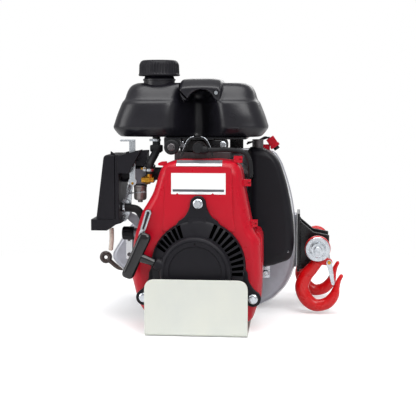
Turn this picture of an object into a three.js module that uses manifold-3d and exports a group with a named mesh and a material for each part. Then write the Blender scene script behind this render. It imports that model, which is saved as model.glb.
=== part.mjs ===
// Portable petrol capstan winch, millimetres, +Z up.
// X runs to the right of the front view, Y runs away from the viewer, the crank axis is at X = 0.
// Depths are given from the face where the engine meets the gearbox, heights from the floor.
// The whole winch is then moved so that its origin lies under the middle of the skid plate.
import * as THREE from 'three';
import { mergeVertices } from 'three/addons/utils/BufferGeometryUtils.js';
import Module from 'manifold-3d';

const wasm = await Module();
wasm.setup();

// Clearances and counts
const fitGap = 0.3;
const runGap = 0.6;
const cutOverrun = 1;
const weldDistance = 0.001;
const roundSides = 16;
const boltSides = 8;
const innerSides = 12;
const hexSides = 6;
const cordSides = 8;
const fineSides = 24;
const cornerSteps = 2;
const hoseSteps = 10;
const drainSteps = 3;
const leadSteps = 16;
const pipeSteps = 6;

// Crank line and depth of the engine
const crankHeight = 87;

// Skid plate
const skidWidth = 135;
const skidHeight = 75;
const skidThickness = 3;
const skidStandoff = 14.7;
const skidFlangeLength = 158;
const skidCornerRadius = 14;
const skidBendRadius = 5;

// Gearbox casting, in two halves
const casingWidth = 287;
const casingHeight = 236;
const casingWall = 5;
const casingRound = 9;
const housingDepth = 36;
const coverDepth = 34;
const casingOutlineShares = [
  [-0.216, 0.000], [0.240, 0.000], [0.279, 0.024], [0.333, 0.053], [0.408, 0.148], [0.442, 0.235],
  [0.4516, 0.405], [0.446, 0.552], [0.4296, 0.689], [0.4035, 0.811], [0.372, 0.918], [0.340, 0.978],
  [0.305, 0.992], [0.265, 1.000], [0.185, 1.000], [-0.087, 1.000], [-0.157, 0.941], [-0.216, 0.805],
  [-0.293, 0.636], [-0.411, 0.521], [-0.460, 0.428], [-0.505, 0.339], [-0.509, 0.305],
  [-0.488, 0.271], [-0.455, 0.237], [-0.418, 0.191], [-0.387, 0.153], [-0.314, 0.051],
];
const padDepth = 22;
const padWidth = 14;
const sidePadHeight = 38;
const sidePadLift = 5;
const sidePadX = 117;
const sidePadZ = 72;
const drainPlugRadius = 6;
const drainPlugLength = 6;
const drainPlugX = 85;
const drainPlugZ = 61;

// Gear train
const drumAxisX = -64;
const drumAxisZ = 86;
const outputAngleDegrees = 55;
const moduleOne = 1.25;
const moduleTwo = 1.5;
const moduleThree = 1.75;
const pinionOneTeeth = 12;
const gearOneTeeth = 56;
const pinionTwoTeeth = 12;
const gearTwoTeeth = 57;
const pinionThreeTeeth = 13;
const gearThreeTeeth = 64;
const pressureAngleDegrees = 20;
const backlash = 0.4;
const addendumShare = 0.85;
const dedendumShare = 1.25;
const gearWidth = 8;
const outputGearWidth = 9;
const gearSideGap = 1;
const journalLength = 8;
const pinionJournalRadius = 7;
const layshaftRadius = 6;
const bearingBossWall = 5;

// Clutch
const clutchDrumRadius = 39;
const clutchDrumWall = 3;
const clutchDrumDepth = 19;
const clutchCupWall = 4;
const clutchFloor = 7;
const clutchHubRadius = 13;
const clutchHubWidth = 12;
const clutchShoeThickness = 12;
const clutchShoeGap = 1.8;
const clutchArmWidth = 14;
const clutchStart = 7;

// Drum and its shaft
const drumShaftRadius = 12;
const drumSeatRadius = 10;
const drumFlat = 8;
const drumFlangeRadius = 42;
const drumWaistRadius = 28.5;
const drumEndRadius = 38;
const drumLength = 62;
const drumRim = 5;
const drumCurveShares = [[1.1, 0.28], [1.0, 0.45], [1.0, 0.62], [1.09, 0.80]];
const drumHubRadius = 17;
const drumRecess = 20;
const drumBoltHead = 6;
const drumBoltRadius = 4;
const drumWasherRadius = 14;
const bearingBossRadius = 32;
const bearingBossLength = 7;
const bearingOuterRadius = 21;
const bearingWidth = 10;

// Crankcase, cylinder and head
const crankcaseWidth = 112;
const crankcaseHeight = 114;
const crankcaseBase = 14;
const crankcaseFront = 98;
const crankcaseBack = 30;
const crankcaseCornerShare = 0.16;
const crankcaseWall = 12;
const footWidth = 26;
const footLength = 52;
const crankChamberRadius = 40;
const cylinderWidth = 80;
const cylinderTop = 196;
const cylinderBore = 20;
const cylinderCoreRadius = 28;
const finCount = 6;
const finThickness = 2.6;
const headTop = 236;
const headWidth = 76;
const headInset = 3;
const rockerCoverTop = 252.4;
const rockerCoverInset = 6;
const plugBossRadius = 9;
const plugBossLength = 14;
const plugX = -2;
const plugZ = 243;
const plugRadius = 4.2;
const plugLength = 24;
const plugHexRadius = 7;
const plugHexLength = 5;
const fillerRadius = 8;
const fillerLength = 44;
const fillerHeight = 119;
const fillerDepth = 60;
const dipstickCapRadius = 9.5;
const dipstickCapLength = 17;
const dipstickRadius = 3;
const dipstickLength = 30;
const governorLugSeat = 6.6;
const governorLugOverhang = 5.5;
const governorLugHeight = 82;
const governorLugThickness = 4;
const governorLugDepth = 79;
const governorLugShares = [
  [0.000, 0.110], [0.000, 0.476], [-0.821, 0.768], [-0.830, 1.000], [-1.000, 1.000],
  [-1.000, 0.768], [-0.878, 0.634], [-0.150, 0.207],
];

// Crankcase side cover with the flange that meets the gearbox
const sideCoverRadius = 46;
const engineFlangeRadius = 52;
const engineFlangeThickness = 8;
const sideCoverWall = 6;

// Crankshaft, flywheel and fan
const crankRadius = 12;
const crankNoseRadius = 8;
const crankWebRadius = 34;
const crankWebWidth = 9;
const crankThrow = 16;
const crankPinRadius = 9;
const crankPinLength = 14;
const crankNoseLength = 40;
const clutchEndLength = 23;
const flywheelRadius = 50;
const flywheelThickness = 8;
const flywheelHubRadius = 15;
const fanBladeCount = 10;
const fanBladeHeight = 11;
const fanBladeThickness = 2;
const fanInnerRadius = 27;
const starterCupRadius = 23;
const starterCupWall = 2.5;
const starterCupHeight = 20;
const flywheelBackGap = 12;

// Fan shroud
const shroudWidth = 180;
const shroudHeight = 220;
const shroudBase = 8;
const shroudFront = 146;
const shroudBack = 98;
const shroudWall = 2.5;
const shroudBevel = 13;
const shroudBevelDepth = 18;
const shroudOpeningRadius = 58.5;
const earBossRadius = 10;
const shroudOutlineShares = [
  [-0.367, 0.000], [0.389, 0.000], [0.444, 0.155], [0.472, 0.382], [0.467, 0.491], [0.406, 0.623],
  [0.378, 0.759], [0.350, 0.886], [0.311, 0.982], [0.289, 1.000], [-0.289, 1.000], [-0.311, 0.982],
  [-0.344, 0.850], [-0.400, 0.645], [-0.483, 0.450], [-0.522, 0.327], [-0.494, 0.155],
  [-0.456, 0.109],
];
const wingBack = 70;
const wingOutlineShares = [
  [0.411, 0.568], [0.456, 0.559], [0.478, 0.518], [0.478, 0.373], [0.464, 0.145], [0.444, 0.145],
  [0.456, 0.373], [0.444, 0.500], [0.406, 0.541],
];
const clipSize = 8;
const clipHeight = 10;
const clipLength = 9;
const clipPlaceShares = [[0.30, 1.01], [0.365, 0.86], [0.42, 0.62]];
const tabLength = 9;
const tabHeight = 5;

// Recoil cover, its bolts and pulley
const recoilRadius = 62;
const recoilDepth = 24;
const recoilWall = 2.5;
const recoilShoulderRadius = 46;
const recoilShoulderDepth = 13;
const recoilBossDepth = 5;
const earInset = 6;
const earCircleRadius = shroudWidth / 2 - earInset;
const earRadius = 10.5;
const earThickness = 7;
const earSpanShare = 0.42;
const earNeckShare = 0.7;
const slotInnerRadius = 46.5;
const slotOuterRadius = 59;
const slotWidth = 4.6;
const slotStepDegrees = 8.1;
const rightSlotCount = 10;
const rightSlotStartDegrees = -4;
const leftSlotCount = 6;
const leftSlotStartDegrees = 112;
const outletRadius = 8;
const outletLength = 18;
const screwRadius = 3;
const screwLength = 16;
const screwHeadRadius = 6;
const screwHeadHeight = 5;
const pulleyRadius = 29;
const pulleyGrooveRadius = 23;
const pulleyWidth = 9;
const pulleyFlange = 2;
const pulleyPostRadius = 6;
const pulleySideGap = 1;

// Pull handle and starter rope
const ropeRadius = 2;
const gripLength = 66;
const gripWidth = 17;
const gripDepth = 15;
const gripAngleDegrees = 69.7;
const gripX = -79.6;
const gripZ = 103.6;
const gripStemShare = 0.06;
const stemRadius = 5;
const stemLength = 12;
const ropeExitX = -56;
const ropeExitZ = 93;

// Throttle lever on the front of the shroud
const throttleInset = 12;
const throttleX = throttleInset - shroudWidth / 2;
const throttleZ = 122;
const throttleLength = 42;
const throttleEndRadius = 4.5;
const throttlePivotRadius = 3.6;
const throttleThickness = 2;
const throttleAngleDegrees = 69;
const throttleSlotShare = 0.5;
const throttleSlotWidth = 3;
const throttlePinRadius = 2.4;
const throttleLift = 5;
const throttleBossRadius = 5;

// Carburettor and its fittings
const carburettorStandoff = 25.58;
const carburettorX = shroudOutlineShares[12][0] * shroudWidth - carburettorStandoff;
const carburettorZ = 205;
const carburettorDepth = 76;
const carburettorLength = 22;
const carburettorHeight = 30;
const carburettorWidth = 32;
const carburettorBore = 8;
const carburettorFlange = 4;
const carburettorNeckRadius = 12.5;
const carburettorRound = 6;
const bowlRadius = 9.5;
const bowlHeight = 21;
const bowlNutRadius = 3;
const bowlNutHeight = 3;
const manifoldRadius = 9;
const manifoldBore = 6.5;
const manifoldFlangeRadius = 12;
const manifoldFlangeThickness = 4;
const cockOffset = 13;
const cockX = carburettorX + cockOffset;
const cockZ = 198;
const cockLength = 17;
const cockStubOffset = 7.5;
const cockStubX = carburettorX + cockStubOffset;
const cockHoseOffset = 16;
const cockHoseX = carburettorX + cockHoseOffset;
const cockRadius = 4;
const cockNutRadius = 6;
const cockHeight = 16;
const cockSpigotRadius = 2.7;
const cockSpigotLength = 7;
const chokeOffset = 9;
const chokeX = carburettorX - chokeOffset;
const chokeZ = 195;
const chokeStemWidth = 8.5;
const chokeHeight = 58;
const chokeThickness = 2;
const chokeTabLength = 16;
const chokeTabThickness = 2.5;
const chokePivotRadius = 6;
const governorOffset = 19;
const governorX = carburettorX - governorOffset;
const governorZ = 150;
const governorLength = 37;
const governorWidth = 9;
const governorTipRadius = 4;
const governorLean = 4;
const governorThickness = 2;
const governorPinRadius = 3;

// Air cleaner
const cleanerOffset = 30.5;
const cleanerX = carburettorX - cleanerOffset;
const cleanerWidth = 34;
const cleanerBase = 128.5;
const cleanerHeight = 104;
const cleanerFront = 110;
const cleanerBack = 34;
const cleanerWall = 2.5;
const cleanerPlate = 5;
const cleanerCoverShares = [[-0.809, 0.155], [-0.03, 0.155], [-0.03, 1.000], [-0.38, 1.000], [-0.471, 0.975]];
const trayShares = [
  [-1.000, 0.000], [-0.353, 0.000], [0.029, 0.082], [0.235, 0.101], [0.235, 0.149], [-1.000, 0.149],
];
const snorkelShares = [
  [0.000, 0.764], [0.441, 0.755], [0.647, 0.889], [0.971, 1.072], [0.765, 1.053], [0.000, 0.986],
];
const snorkelFront = 112;
const snorkelBack = 99;
const coverFinCount = 2;
const coverFinHeight = 4;
const coverFinThickness = 2;
const coverFinPitch = 13;
const outletTubeRadius = 12;
const filterMargin = 7;
const filterThickness = 12.6;
const breatherRadius = 5.5;
const breatherBore = 4;
const breatherSpigotRadius = 3.2;
const breatherClearance = 5.2;
const breatherInset = 20;
const breatherPlaceShares = [[0.00, 0.00], [0.21, 0.00], [0.42, 0.07], [0.60, 0.40], [0.76, 0.86],
  [0.90, 1.00], [1.00, 1.00]];
const drainRadius = 3.2;
const drainBore = 1.8;
const drainLength = 31;
const drainOffset = 11;
const drainX = cleanerX - drainOffset;
const drainDepth = 80;

// Fuel tank, cap, bracket and hose
const tankCentreX = -20.7;
const tankFront = 90;
const tankWidth = 217.5;
const tankDepth = 130;
const tankBottom = 256;
const tankHeight = 75;
const tankWall = 3;
const tankFrontSteps = 14;
const tankBackSteps = 8;
const tankInnerFrontSteps = 10;
const tankInnerBackSteps = 6;
const tankInnerLevels = [0, 2, 4, 6, 9];
const tankCornerPower = 5;
const tankLevelShares = [
  [0.000, 0.900, 0.860, 0.25], [0.050, 0.970, 0.945, 0.33], [0.160, 1.000, 1.000, 0.36],
  [0.400, 0.950, 0.985, 0.36], [0.560, 0.905, 0.950, 0.34], [0.620, 0.870, 0.880, 0.27],
  [0.650, 0.838, 0.830, 0.20], [0.870, 0.780, 0.760, 0.05], [0.950, 0.755, 0.710, 0.00],
  [1.000, 0.700, 0.620, 0.00],
];
const valleyWidthShare = 0.26;
const valleyCentreShare = 0.100;
const saddleWidth = 59;
const saddleRise = 6;
const saddleX = -6.5;
const saddleDepthShare = 0.31;
const saddleBaseShare = 0.72;
const saddleRoundShare = 0.14;
const neckX = -65.4;
const neckDepth = 44;
const neckRadius = 21;
const neckBore = 17;
const neckRise = 25.5;
const neckBeadRise = 3;
const neckBeadRadius = 23;
const neckBeadHeight = 2.5;
const capRadius = 28.5;
const capHeight = 22;
const capWall = 3.5;
const capTopRound = 3;
const capRibCount = 24;
const capRibRadius = 1.5;
const gasketThickness = 2;
const tankSpigotX = -66;
const tankSpigotDepth = 72;
const spigotRadius = 2.7;
const spigotLength = 10;
const hoseRadius = 5.6;
const hoseBore = 3.5;
const filterRadius = 9;
const filterTop = 245;
const filterBottom = 227;
const bracketThickness = 2.6;
const bracketWidth = 114;
const bracketX = 3;
const bracketFront = 88;
const bracketBack = 28;
const bracketLegWidth = 20;
const bracketLegThickness = 3;
const bracketLegSpread = 74;
const archWidth = 44;
const archHeight = 24;
const archThickness = 2.4;
const archX = -4;
const archFront = 122;
const archBack = 113;
const archShares = [[-0.523, 0.000], [-0.40, 0.480], [-0.25, 0.900], [0.000, 1.000], [0.25, 0.900],
  [0.40, 0.480], [0.500, 0.000]];
const mountRadius = 10;
const mountLength = 8;
const mountX = -38;
const mountZ = 244;
const mountArmWidth = 22;

// Spark plug cap and lead
const plugCapRadius = 7;
const plugCapLength = 25;
const plugCapWall = 2;
const plugCapSideRadius = 5;
const plugCapSideLength = 6;
const leadRadius = 3.2;

// Muffler behind the guard
const mufflerX = 67;
const mufflerZ = 108;
const mufflerWidth = 40;
const mufflerHeight = 90;
const mufflerFront = 28;
const mufflerBack = 2;
const mufflerRound = 10;
const headerRadius = 7;
const headerZ = 214;
const headerDepth = 55;
const outletPipeRadius = 8;
const outletPipeTop = 251;
const outletPipeX = 73;
const outletPipeWall = 1.5;

// Guard cover
const guardX = 60;
const guardZ = 67.8;
const guardWidth = 66;
const guardHeight = 172.2;
const guardDepth = 38;
const guardWall = 2.5;
const guardRound = 11;
const guardRoundDepth = 12;
const guardNotch = 3;
const guardOutlineShares = [
  [0.000, 0.000], [0.132, 0.000], [0.502, 0.006], [0.764, 0.043], [0.880, 0.058], [0.945, 0.086],
  [1.000, 0.170], [0.992, 0.350], [0.923, 0.529], [0.829, 0.698], [0.695, 0.856], [0.589, 0.930],
  [0.408, 0.984], [0.147, 1.000], [0.000, 1.000],
];

// Stop switch on the top of the casing
const switchX = 93.5;
const switchZ = 245.5;
const switchDepth = 20;
const switchAngleDegrees = -56;
const switchLength = 16;
const switchSide = 12;
const switchCollar = 14;
const switchCollarLength = 4;
const switchFootWidth = 8;
const buttonRadius = 4.5;
const buttonLength = 7;
const buttonTravel = 2;
const buttonSocketDepth = 5;

// Anchor bracket, bolt, hooks and latches
const anchorX = 160;
const anchorZ = 95;
const anchorDepth = 35;
const hookSpread = 120;
const hookEyeThickness = 14;
const hookSideGap = 0.4;
const anchorBoltRadius = 6;
const anchorTubeRadius = 12;
const anchorWasherRadius = 17.5;
const anchorWasherThickness = 3;
const anchorNutRadius = 11;
const anchorNutHeight = 9;
const anchorThreadLength = 4;
const anchorPlateX = 130.6;
const anchorPlateThickness = 4;
const anchorPlateBase = 56;
const anchorPlateHeight = 86;
const anchorPlateDepth = 60;
const anchorWebThickness = 4;
const anchorWebLength = 44;
const anchorWebHalfHeight = 42;
const anchorWebInset = 5;
const anchorWebShares = [[0.000, 0.876], [0.475, 0.460], [1.000, 0.357], [1.000, -0.214], [0.812, -0.690],
  [0.000, -0.881]];
const hookDrop = 91;
const hookHalfWidth = 10;
const hookHalfThickness = 7.5;
const hookEyeRadius = 18.5;
const hookPathShares = [
  [0.000, -0.209, 0.800], [-0.088, -0.319, 0.900], [-0.181, -0.440, 0.950], [-0.242, -0.604, 1.000],
  [-0.187, -0.780, 1.000], [-0.077, -0.885, 0.930], [0.033, -0.907, 0.880], [0.165, -0.863, 0.860],
  [0.264, -0.747, 0.740], [0.313, -0.604, 0.520], [0.385, -0.429, 0.220],
];
const hookRingCount = 15;
const hookRingSides = 8;
const latchX = 16.4;
const latchDrop = 19.3;
const latchLength = 31;
const latchLeanDegrees = 11;
const latchSheet = 1.4;
const latchTipRadius = 2.3;
const latchWebShare = 0.35;
const latchPinOverhang = 0.7;
const latchPinRadius = 2;
const latchEyeRadius = 4;
const latchLugThickness = 9;
const latchLugRadius = 5;

// Rope guide on the left of the casing
const guideX = -170;
const guideZ = 63.5;
const guideDepth = 85;
const guideRingRadius = 7;
const guideRodRadius = 3.2;
const guideFootX = -122;
const guideFootZ = 62;
const guideFootRadius = 8;
const guideFootThickness = 4;
const guideRise = 11;

// Colours and finishes
function finish(color, roughness, metalness) {
  return new THREE.MeshStandardMaterial({ color, roughness, metalness });
}
const zincPlate = finish(0xdfe3da, 0.45, 0.7);
const castGrey = finish(0x9a9aa2, 0.6, 0.8);
const engineAlloy = finish(0x8c8c92, 0.6, 0.8);
const blackMoulding = finish(0x24222a, 0.5, 0.0);
const redMoulding = finish(0xd8162c, 0.4, 0.0);
const redPaint = finish(0xcf1020, 0.35, 0.1);
const blackPaint = finish(0x1b1b1e, 0.4, 0.2);
const blackRubber = finish(0x17171a, 0.7, 0.0);
const steel = finish(0xa8aab0, 0.35, 0.9);
const darkSteel = finish(0x6a6c72, 0.4, 0.9);
const brass = finish(0xd9a441, 0.3, 0.9);
const zincFitting = finish(0xc3c7cc, 0.35, 0.9);
const ceramic = finish(0xf0efe8, 0.3, 0.0);
const clearTube = finish(0xd9b9a8, 0.3, 0.0);
const foam = finish(0x3a3f4a, 0.9, 0.0);
const hardChrome = finish(0xcfd3d8, 0.2, 1.0);

// Unit directions: a piece is drawn flat and stood up along one of them
const alongX = new THREE.Matrix4().makeBasis(
  new THREE.Vector3(0, 1, 0), new THREE.Vector3(0, 0, 1), new THREE.Vector3(1, 0, 0));
const alongY = new THREE.Matrix4().makeBasis(
  new THREE.Vector3(1, 0, 0), new THREE.Vector3(0, 0, 1), new THREE.Vector3(0, -1, 0));
const alongZ = new THREE.Matrix4();

// Turns a closed geometry into a solid with its faces pointing out
function solid(geometry) {
  const bare = geometry.clone();
  bare.deleteAttribute('normal');
  bare.deleteAttribute('uv');
  const merged = mergeVertices(bare, weldDistance);
  const places = merged.attributes.position.array;
  const order = merged.index.array;
  const kept = [];
  let volume = 0;
  const a = new THREE.Vector3();
  const b = new THREE.Vector3();
  const c = new THREE.Vector3();
  for (let i = 0; i < order.length; i += 3) {
    const [p, q, r] = [order[i], order[i + 1], order[i + 2]];
    if (p === q || q === r || r === p) continue;
    kept.push(p, q, r);
    a.fromArray(places, p * 3);
    b.fromArray(places, q * 3);
    c.fromArray(places, r * 3);
    volume += a.dot(b.cross(c));
  }
  if (volume < 0) kept.reverse();
  const mesh = new wasm.Mesh({
    numProp: 3,
    vertProperties: new Float32Array(places),
    triVerts: new Uint32Array(kept),
  });
  return new wasm.Manifold(mesh);
}

function union(...parts) {
  return parts.flat().reduce((sum, part) => sum.add(part));
}

function cut(base, ...tools) {
  return tools.flat().reduce((rest, tool) => rest.subtract(tool), base);
}

// A straight piece with outline [u, v], from one height to another along a direction
function prism(direction, outline, from, to) {
  const shape = new THREE.Shape(outline.map(([u, v]) => new THREE.Vector2(u, v)));
  const geometry = new THREE.ExtrudeGeometry(shape, { depth: to - from, bevelEnabled: false });
  geometry.applyMatrix4(direction);
  if (direction === alongX) geometry.translate(from, 0, 0);
  if (direction === alongY) geometry.translate(0, to, 0);
  if (direction === alongZ) geometry.translate(0, 0, from);
  return solid(geometry);
}

function block(x0, x1, y0, y1, z0, z1) {
  const geometry = new THREE.BoxGeometry(x1 - x0, y1 - y0, z1 - z0);
  geometry.translate((x0 + x1) / 2, (y0 + y1) / 2, (z0 + z1) / 2);
  return solid(geometry);
}

// A cylinder along a direction, centred on (u, v) in the plane across it
function rod(direction, radius, from, to, u, v, sides = roundSides) {
  const geometry = new THREE.CylinderGeometry(radius, radius, to - from, sides);
  geometry.translate(0, (from + to) / 2, 0);
  if (direction === alongX) geometry.rotateZ(-Math.PI / 2).translate(0, u, v);
  if (direction === alongY) geometry.translate(u, 0, v);
  if (direction === alongZ) geometry.rotateX(Math.PI / 2).translate(u, v, 0);
  return solid(geometry);
}

function pipe(direction, outer, inner, from, to, u, v, sides = roundSides) {
  const core = rod(direction, inner, from - cutOverrun, to + cutOverrun, u, v, sides);
  return cut(rod(direction, outer, from, to, u, v, sides), core);
}

// A turned piece from a closed profile of [radius, height] along Y or Z, centred on (u, v)
function turned(direction, profile, u, v, sides = roundSides) {
  const points = profile.map(([radius, height]) => new THREE.Vector2(radius, height));
  points.push(points[0].clone());
  const geometry = new THREE.LatheGeometry(points, sides);
  if (direction === alongY) geometry.translate(u, 0, v);
  if (direction === alongZ) geometry.rotateX(Math.PI / 2).translate(u, v, 0);
  return solid(geometry);
}

// A round bar or hose along a smooth curve through the points
function bent(points, radius, sides, steps) {
  const curve = new THREE.CatmullRomCurve3(points.map((p) => new THREE.Vector3(...p)));
  const ring = [];
  for (let i = 0; i < sides; i += 1) {
    const angle = (2 * Math.PI * i) / sides;
    ring.push(new THREE.Vector2(radius * Math.cos(angle), radius * Math.sin(angle)));
  }
  const shape = new THREE.Shape(ring);
  return solid(new THREE.ExtrudeGeometry(shape, { steps, extrudePath: curve, bevelEnabled: false }));
}

// Straight overruns beyond both ends of a curve, so that a bore opens both faces
function withOverrun(points) {
  const first = new THREE.Vector3(...points[0]);
  const second = new THREE.Vector3(...points[1]);
  const last = new THREE.Vector3(...points[points.length - 1]);
  const before = new THREE.Vector3(...points[points.length - 2]);
  const start = first.clone().sub(second).setLength(cutOverrun).add(first);
  const end = last.clone().sub(before).setLength(cutOverrun).add(last);
  return [start.toArray(), ...points, end.toArray()];
}

// A skin through rings of equal point counts, closed by a fan of flat faces at both ends
function skin(rings) {
  const count = rings[0].length;
  const places = rings.flat().flatMap((p) => p.toArray());
  const order = [];
  for (let level = 0; level < rings.length - 1; level += 1) {
    for (let i = 0; i < count; i += 1) {
      const next = (i + 1) % count;
      const low = level * count;
      const high = low + count;
      order.push(low + i, low + next, high + next, low + i, high + next, high + i);
    }
  }
  return { places, order, count };
}

function closedSkin(rings, flat) {
  const { places, order, count } = skin(rings);
  const top = (rings.length - 1) * count;
  for (const [p, q, r] of THREE.ShapeUtils.triangulateShape(flat(rings[0]), [])) {
    order.push(r, q, p);
  }
  for (const [p, q, r] of THREE.ShapeUtils.triangulateShape(flat(rings[rings.length - 1]), [])) {
    order.push(top + p, top + q, top + r);
  }
  const geometry = new THREE.BufferGeometry();
  geometry.setAttribute('position', new THREE.Float32BufferAttribute(places, 3));
  geometry.setIndex(order);
  return solid(geometry);
}

// Draws an outline in by a distance at its widest places, towards the centre of its box
function inset(outline, distance) {
  const xs = outline.map(([x]) => x);
  const zs = outline.map(([, z]) => z);
  const middleX = (Math.min(...xs) + Math.max(...xs)) / 2;
  const middleZ = (Math.min(...zs) + Math.max(...zs)) / 2;
  const keepX = 1 - (2 * distance) / (Math.max(...xs) - Math.min(...xs));
  const keepZ = 1 - (2 * distance) / (Math.max(...zs) - Math.min(...zs));
  return outline.map(([x, z]) => [middleX + (x - middleX) * keepX, middleZ + (z - middleZ) * keepZ]);
}

// A body along Y through outlines [x, z] at depths, each level { outline, y }
function layeredY(levels) {
  const rings = levels.map(({ outline, y }) => outline.map(([x, z]) => new THREE.Vector3(x, y, z)));
  return closedSkin(rings, (ring) => ring.map((p) => new THREE.Vector2(p.x, p.z)));
}

function scaled(shares, originX, width, originZ, height) {
  return shares.map(([u, v]) => [originX + u * width, originZ + v * height]);
}

// Rounds every corner of an outline with short straight steps
function rounded(outline, radius, steps = cornerSteps) {
  const total = outline.length;
  const result = [];
  outline.forEach(([x, z], i) => {
    const before = new THREE.Vector2(...outline[(i + total - 1) % total]);
    const after = new THREE.Vector2(...outline[(i + 1) % total]);
    const corner = new THREE.Vector2(x, z);
    const toBefore = before.sub(corner);
    const toAfter = after.sub(corner);
    const reach = Math.min(radius, toBefore.length() / 2, toAfter.length() / 2);
    const start = toBefore.setLength(reach).add(corner);
    const end = toAfter.setLength(reach).add(corner);
    for (let s = 0; s <= steps; s += 1) {
      const t = s / steps;
      const one = start.clone().lerp(corner, t);
      const two = corner.clone().lerp(end, t);
      const place = one.lerp(two, t);
      result.push([place.x, place.y]);
    }
  });
  return result.filter(([x, z], i) => {
    const [xa, za] = result[(i + result.length - 1) % result.length];
    return Math.hypot(x - xa, z - za) > weldDistance;
  });
}

function rectangle(x0, x1, z0, z1) {
  return [[x0, z0], [x1, z0], [x1, z1], [x0, z1]];
}

function circle(radius, u, v, sides, turn = 0) {
  const points = [];
  for (let i = 0; i < sides; i += 1) {
    const angle = turn + (2 * Math.PI * i) / sides;
    points.push([u + radius * Math.cos(angle), v + radius * Math.sin(angle)]);
  }
  return points;
}

// A straight slot or lever: two round ends of given radii joined by tangents
function stadium(x0, z0, radius0, x1, z1, radius1, steps = 5) {
  const angle = Math.atan2(z1 - z0, x1 - x0);
  const spread = Math.acos((radius0 - radius1) / Math.hypot(x1 - x0, z1 - z0));
  const points = [];
  for (let i = 0; i <= steps; i += 1) {
    const turn = angle - spread + (2 * spread * i) / steps;
    points.push([x1 + radius1 * Math.cos(turn), z1 + radius1 * Math.sin(turn)]);
  }
  for (let i = 0; i <= steps; i += 1) {
    const turn = angle + spread + ((2 * Math.PI - 2 * spread) * i) / steps;
    points.push([x0 + radius0 * Math.cos(turn), z0 + radius0 * Math.sin(turn)]);
  }
  return points;
}


// Adds a solid to a group as a named mesh
function add(group, name, shape, material, x = 0, y = 0, z = 0) {
  const { numProp, vertProperties, triVerts } = shape.getMesh();
  const places = new Float32Array((vertProperties.length / numProp) * 3);
  for (let i = 0; i < places.length / 3; i += 1) {
    places.set(vertProperties.subarray(i * numProp, i * numProp + 3), i * 3);
  }
  const geometry = new THREE.BufferGeometry();
  geometry.setAttribute('position', new THREE.BufferAttribute(places, 3));
  geometry.setIndex(new THREE.BufferAttribute(new Uint32Array(triVerts), 1));
  geometry.computeVertexNormals();
  const mesh = new THREE.Mesh(geometry, material);
  mesh.name = name;
  mesh.position.set(x, y, z);
  group.add(mesh);
  return mesh;
}

const winch = new THREE.Group();
const engine = new THREE.Group();
const starter = new THREE.Group();
const fuel = new THREE.Group();
const gearbox = new THREE.Group();
const anchor = new THREE.Group();
winch.add(engine, starter, fuel, gearbox, anchor);
engine.position.z = crankHeight;
starter.position.z = crankHeight;
anchor.position.set(anchorX, 0, anchorZ);
const skidFrontDepth = shroudFront + fitGap + recoilDepth + skidStandoff;
winch.position.y = skidFrontDepth - skidFlangeLength / 2;

// Skid plate: a bent sheet, its standing wall rounded at the top
const skidFront = -skidFrontDepth;
const skidBack = skidFront + skidFlangeLength;
const skidProfile = [
  [skidBack, skidThickness],
  [skidBack, 0],
  [skidFront + skidBendRadius, 0],
  [skidFront, skidBendRadius],
  [skidFront, skidHeight],
  [skidFront + skidThickness, skidHeight],
  [skidFront + skidThickness, skidBendRadius],
  [skidFront + skidBendRadius, skidThickness],
];
const skidOutline = [
  [-skidWidth / 2, -cutOverrun],
  [skidWidth / 2, -cutOverrun],
  ...rounded([
    [skidWidth / 2, 0],
    [skidWidth / 2, skidHeight],
    [-skidWidth / 2, skidHeight],
    [-skidWidth / 2, 0],
  ], skidCornerRadius, 6).slice(1, -1),
];
const skidSheet = prism(alongX, skidProfile, -skidWidth, skidWidth);
const skidWindow = prism(alongY, skidOutline, skidFront - cutOverrun, skidBack + cutOverrun);
add(winch, 'skid_plate', skidSheet.intersect(skidWindow), zincPlate);

// Crankcase casting with the finned cylinder, in the frame of the crank axis
const crankcaseHalf = crankcaseWidth / 2;
const crankcaseCorner = crankcaseHeight * crankcaseCornerShare;
const crankcaseFloor = crankcaseBase - crankHeight;
const crankcaseTop = crankcaseFloor + crankcaseHeight;
const cylinderRoof = cylinderTop - crankHeight;
const headRoof = headTop - crankHeight;
const crankcaseOutline = rounded(
  rectangle(-crankcaseHalf, crankcaseHalf, crankcaseFloor, crankcaseTop), crankcaseCorner, 2);
const crankcaseBody = prism(alongY, crankcaseOutline, -crankcaseFront, -crankcaseBack);
const cylinderDepthCentre = -(crankcaseFront + crankcaseBack) / 2;
const cylinderHalfDepth = (crankcaseFront - crankcaseBack) / 2;
const cylinderCore = rod(
  alongZ, cylinderCoreRadius, crankcaseTop - crankcaseCorner, cylinderRoof, 0, cylinderDepthCentre);
const finPitch = (cylinderRoof - crankcaseTop - finThickness) / (finCount - 1);
const fins = [];
for (let i = 0; i < finCount; i += 1) {
  const base = crankcaseTop + i * finPitch;
  fins.push(block(
    -cylinderWidth / 2, cylinderWidth / 2,
    cylinderDepthCentre - cylinderHalfDepth, cylinderDepthCentre + cylinderHalfDepth,
    base, base + finThickness));
}
const footTop = crankcaseFloor + crankcaseCorner;
const footBottom = skidThickness + fitGap - crankHeight;
const feet = [-1, 1].map((side) => {
  const inner = side * (crankcaseHalf - footWidth);
  const outer = side * crankcaseHalf;
  return block(
    Math.min(inner, outer), Math.max(inner, outer),
    -crankcaseFront + crankcaseWall, -crankcaseFront + crankcaseWall + footLength,
    footBottom, footTop);
});
const fillerRise = fillerHeight - crankHeight;
const fillerEnd = -crankcaseHalf - fillerLength;
const fillerNeck = rod(
  alongX, fillerRadius, fillerEnd, -crankcaseHalf + crankcaseWall, -fillerDepth, fillerRise);
const fillerBore = rod(
  alongX, dipstickRadius + runGap, fillerEnd - cutOverrun, -crankcaseHalf + crankcaseWall + cutOverrun,
  -fillerDepth, fillerRise, boltSides);
const lugRoot = governorLugSeat - crankcaseHalf;
const lugReach = lugRoot - governorX + governorLugOverhang;
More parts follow.
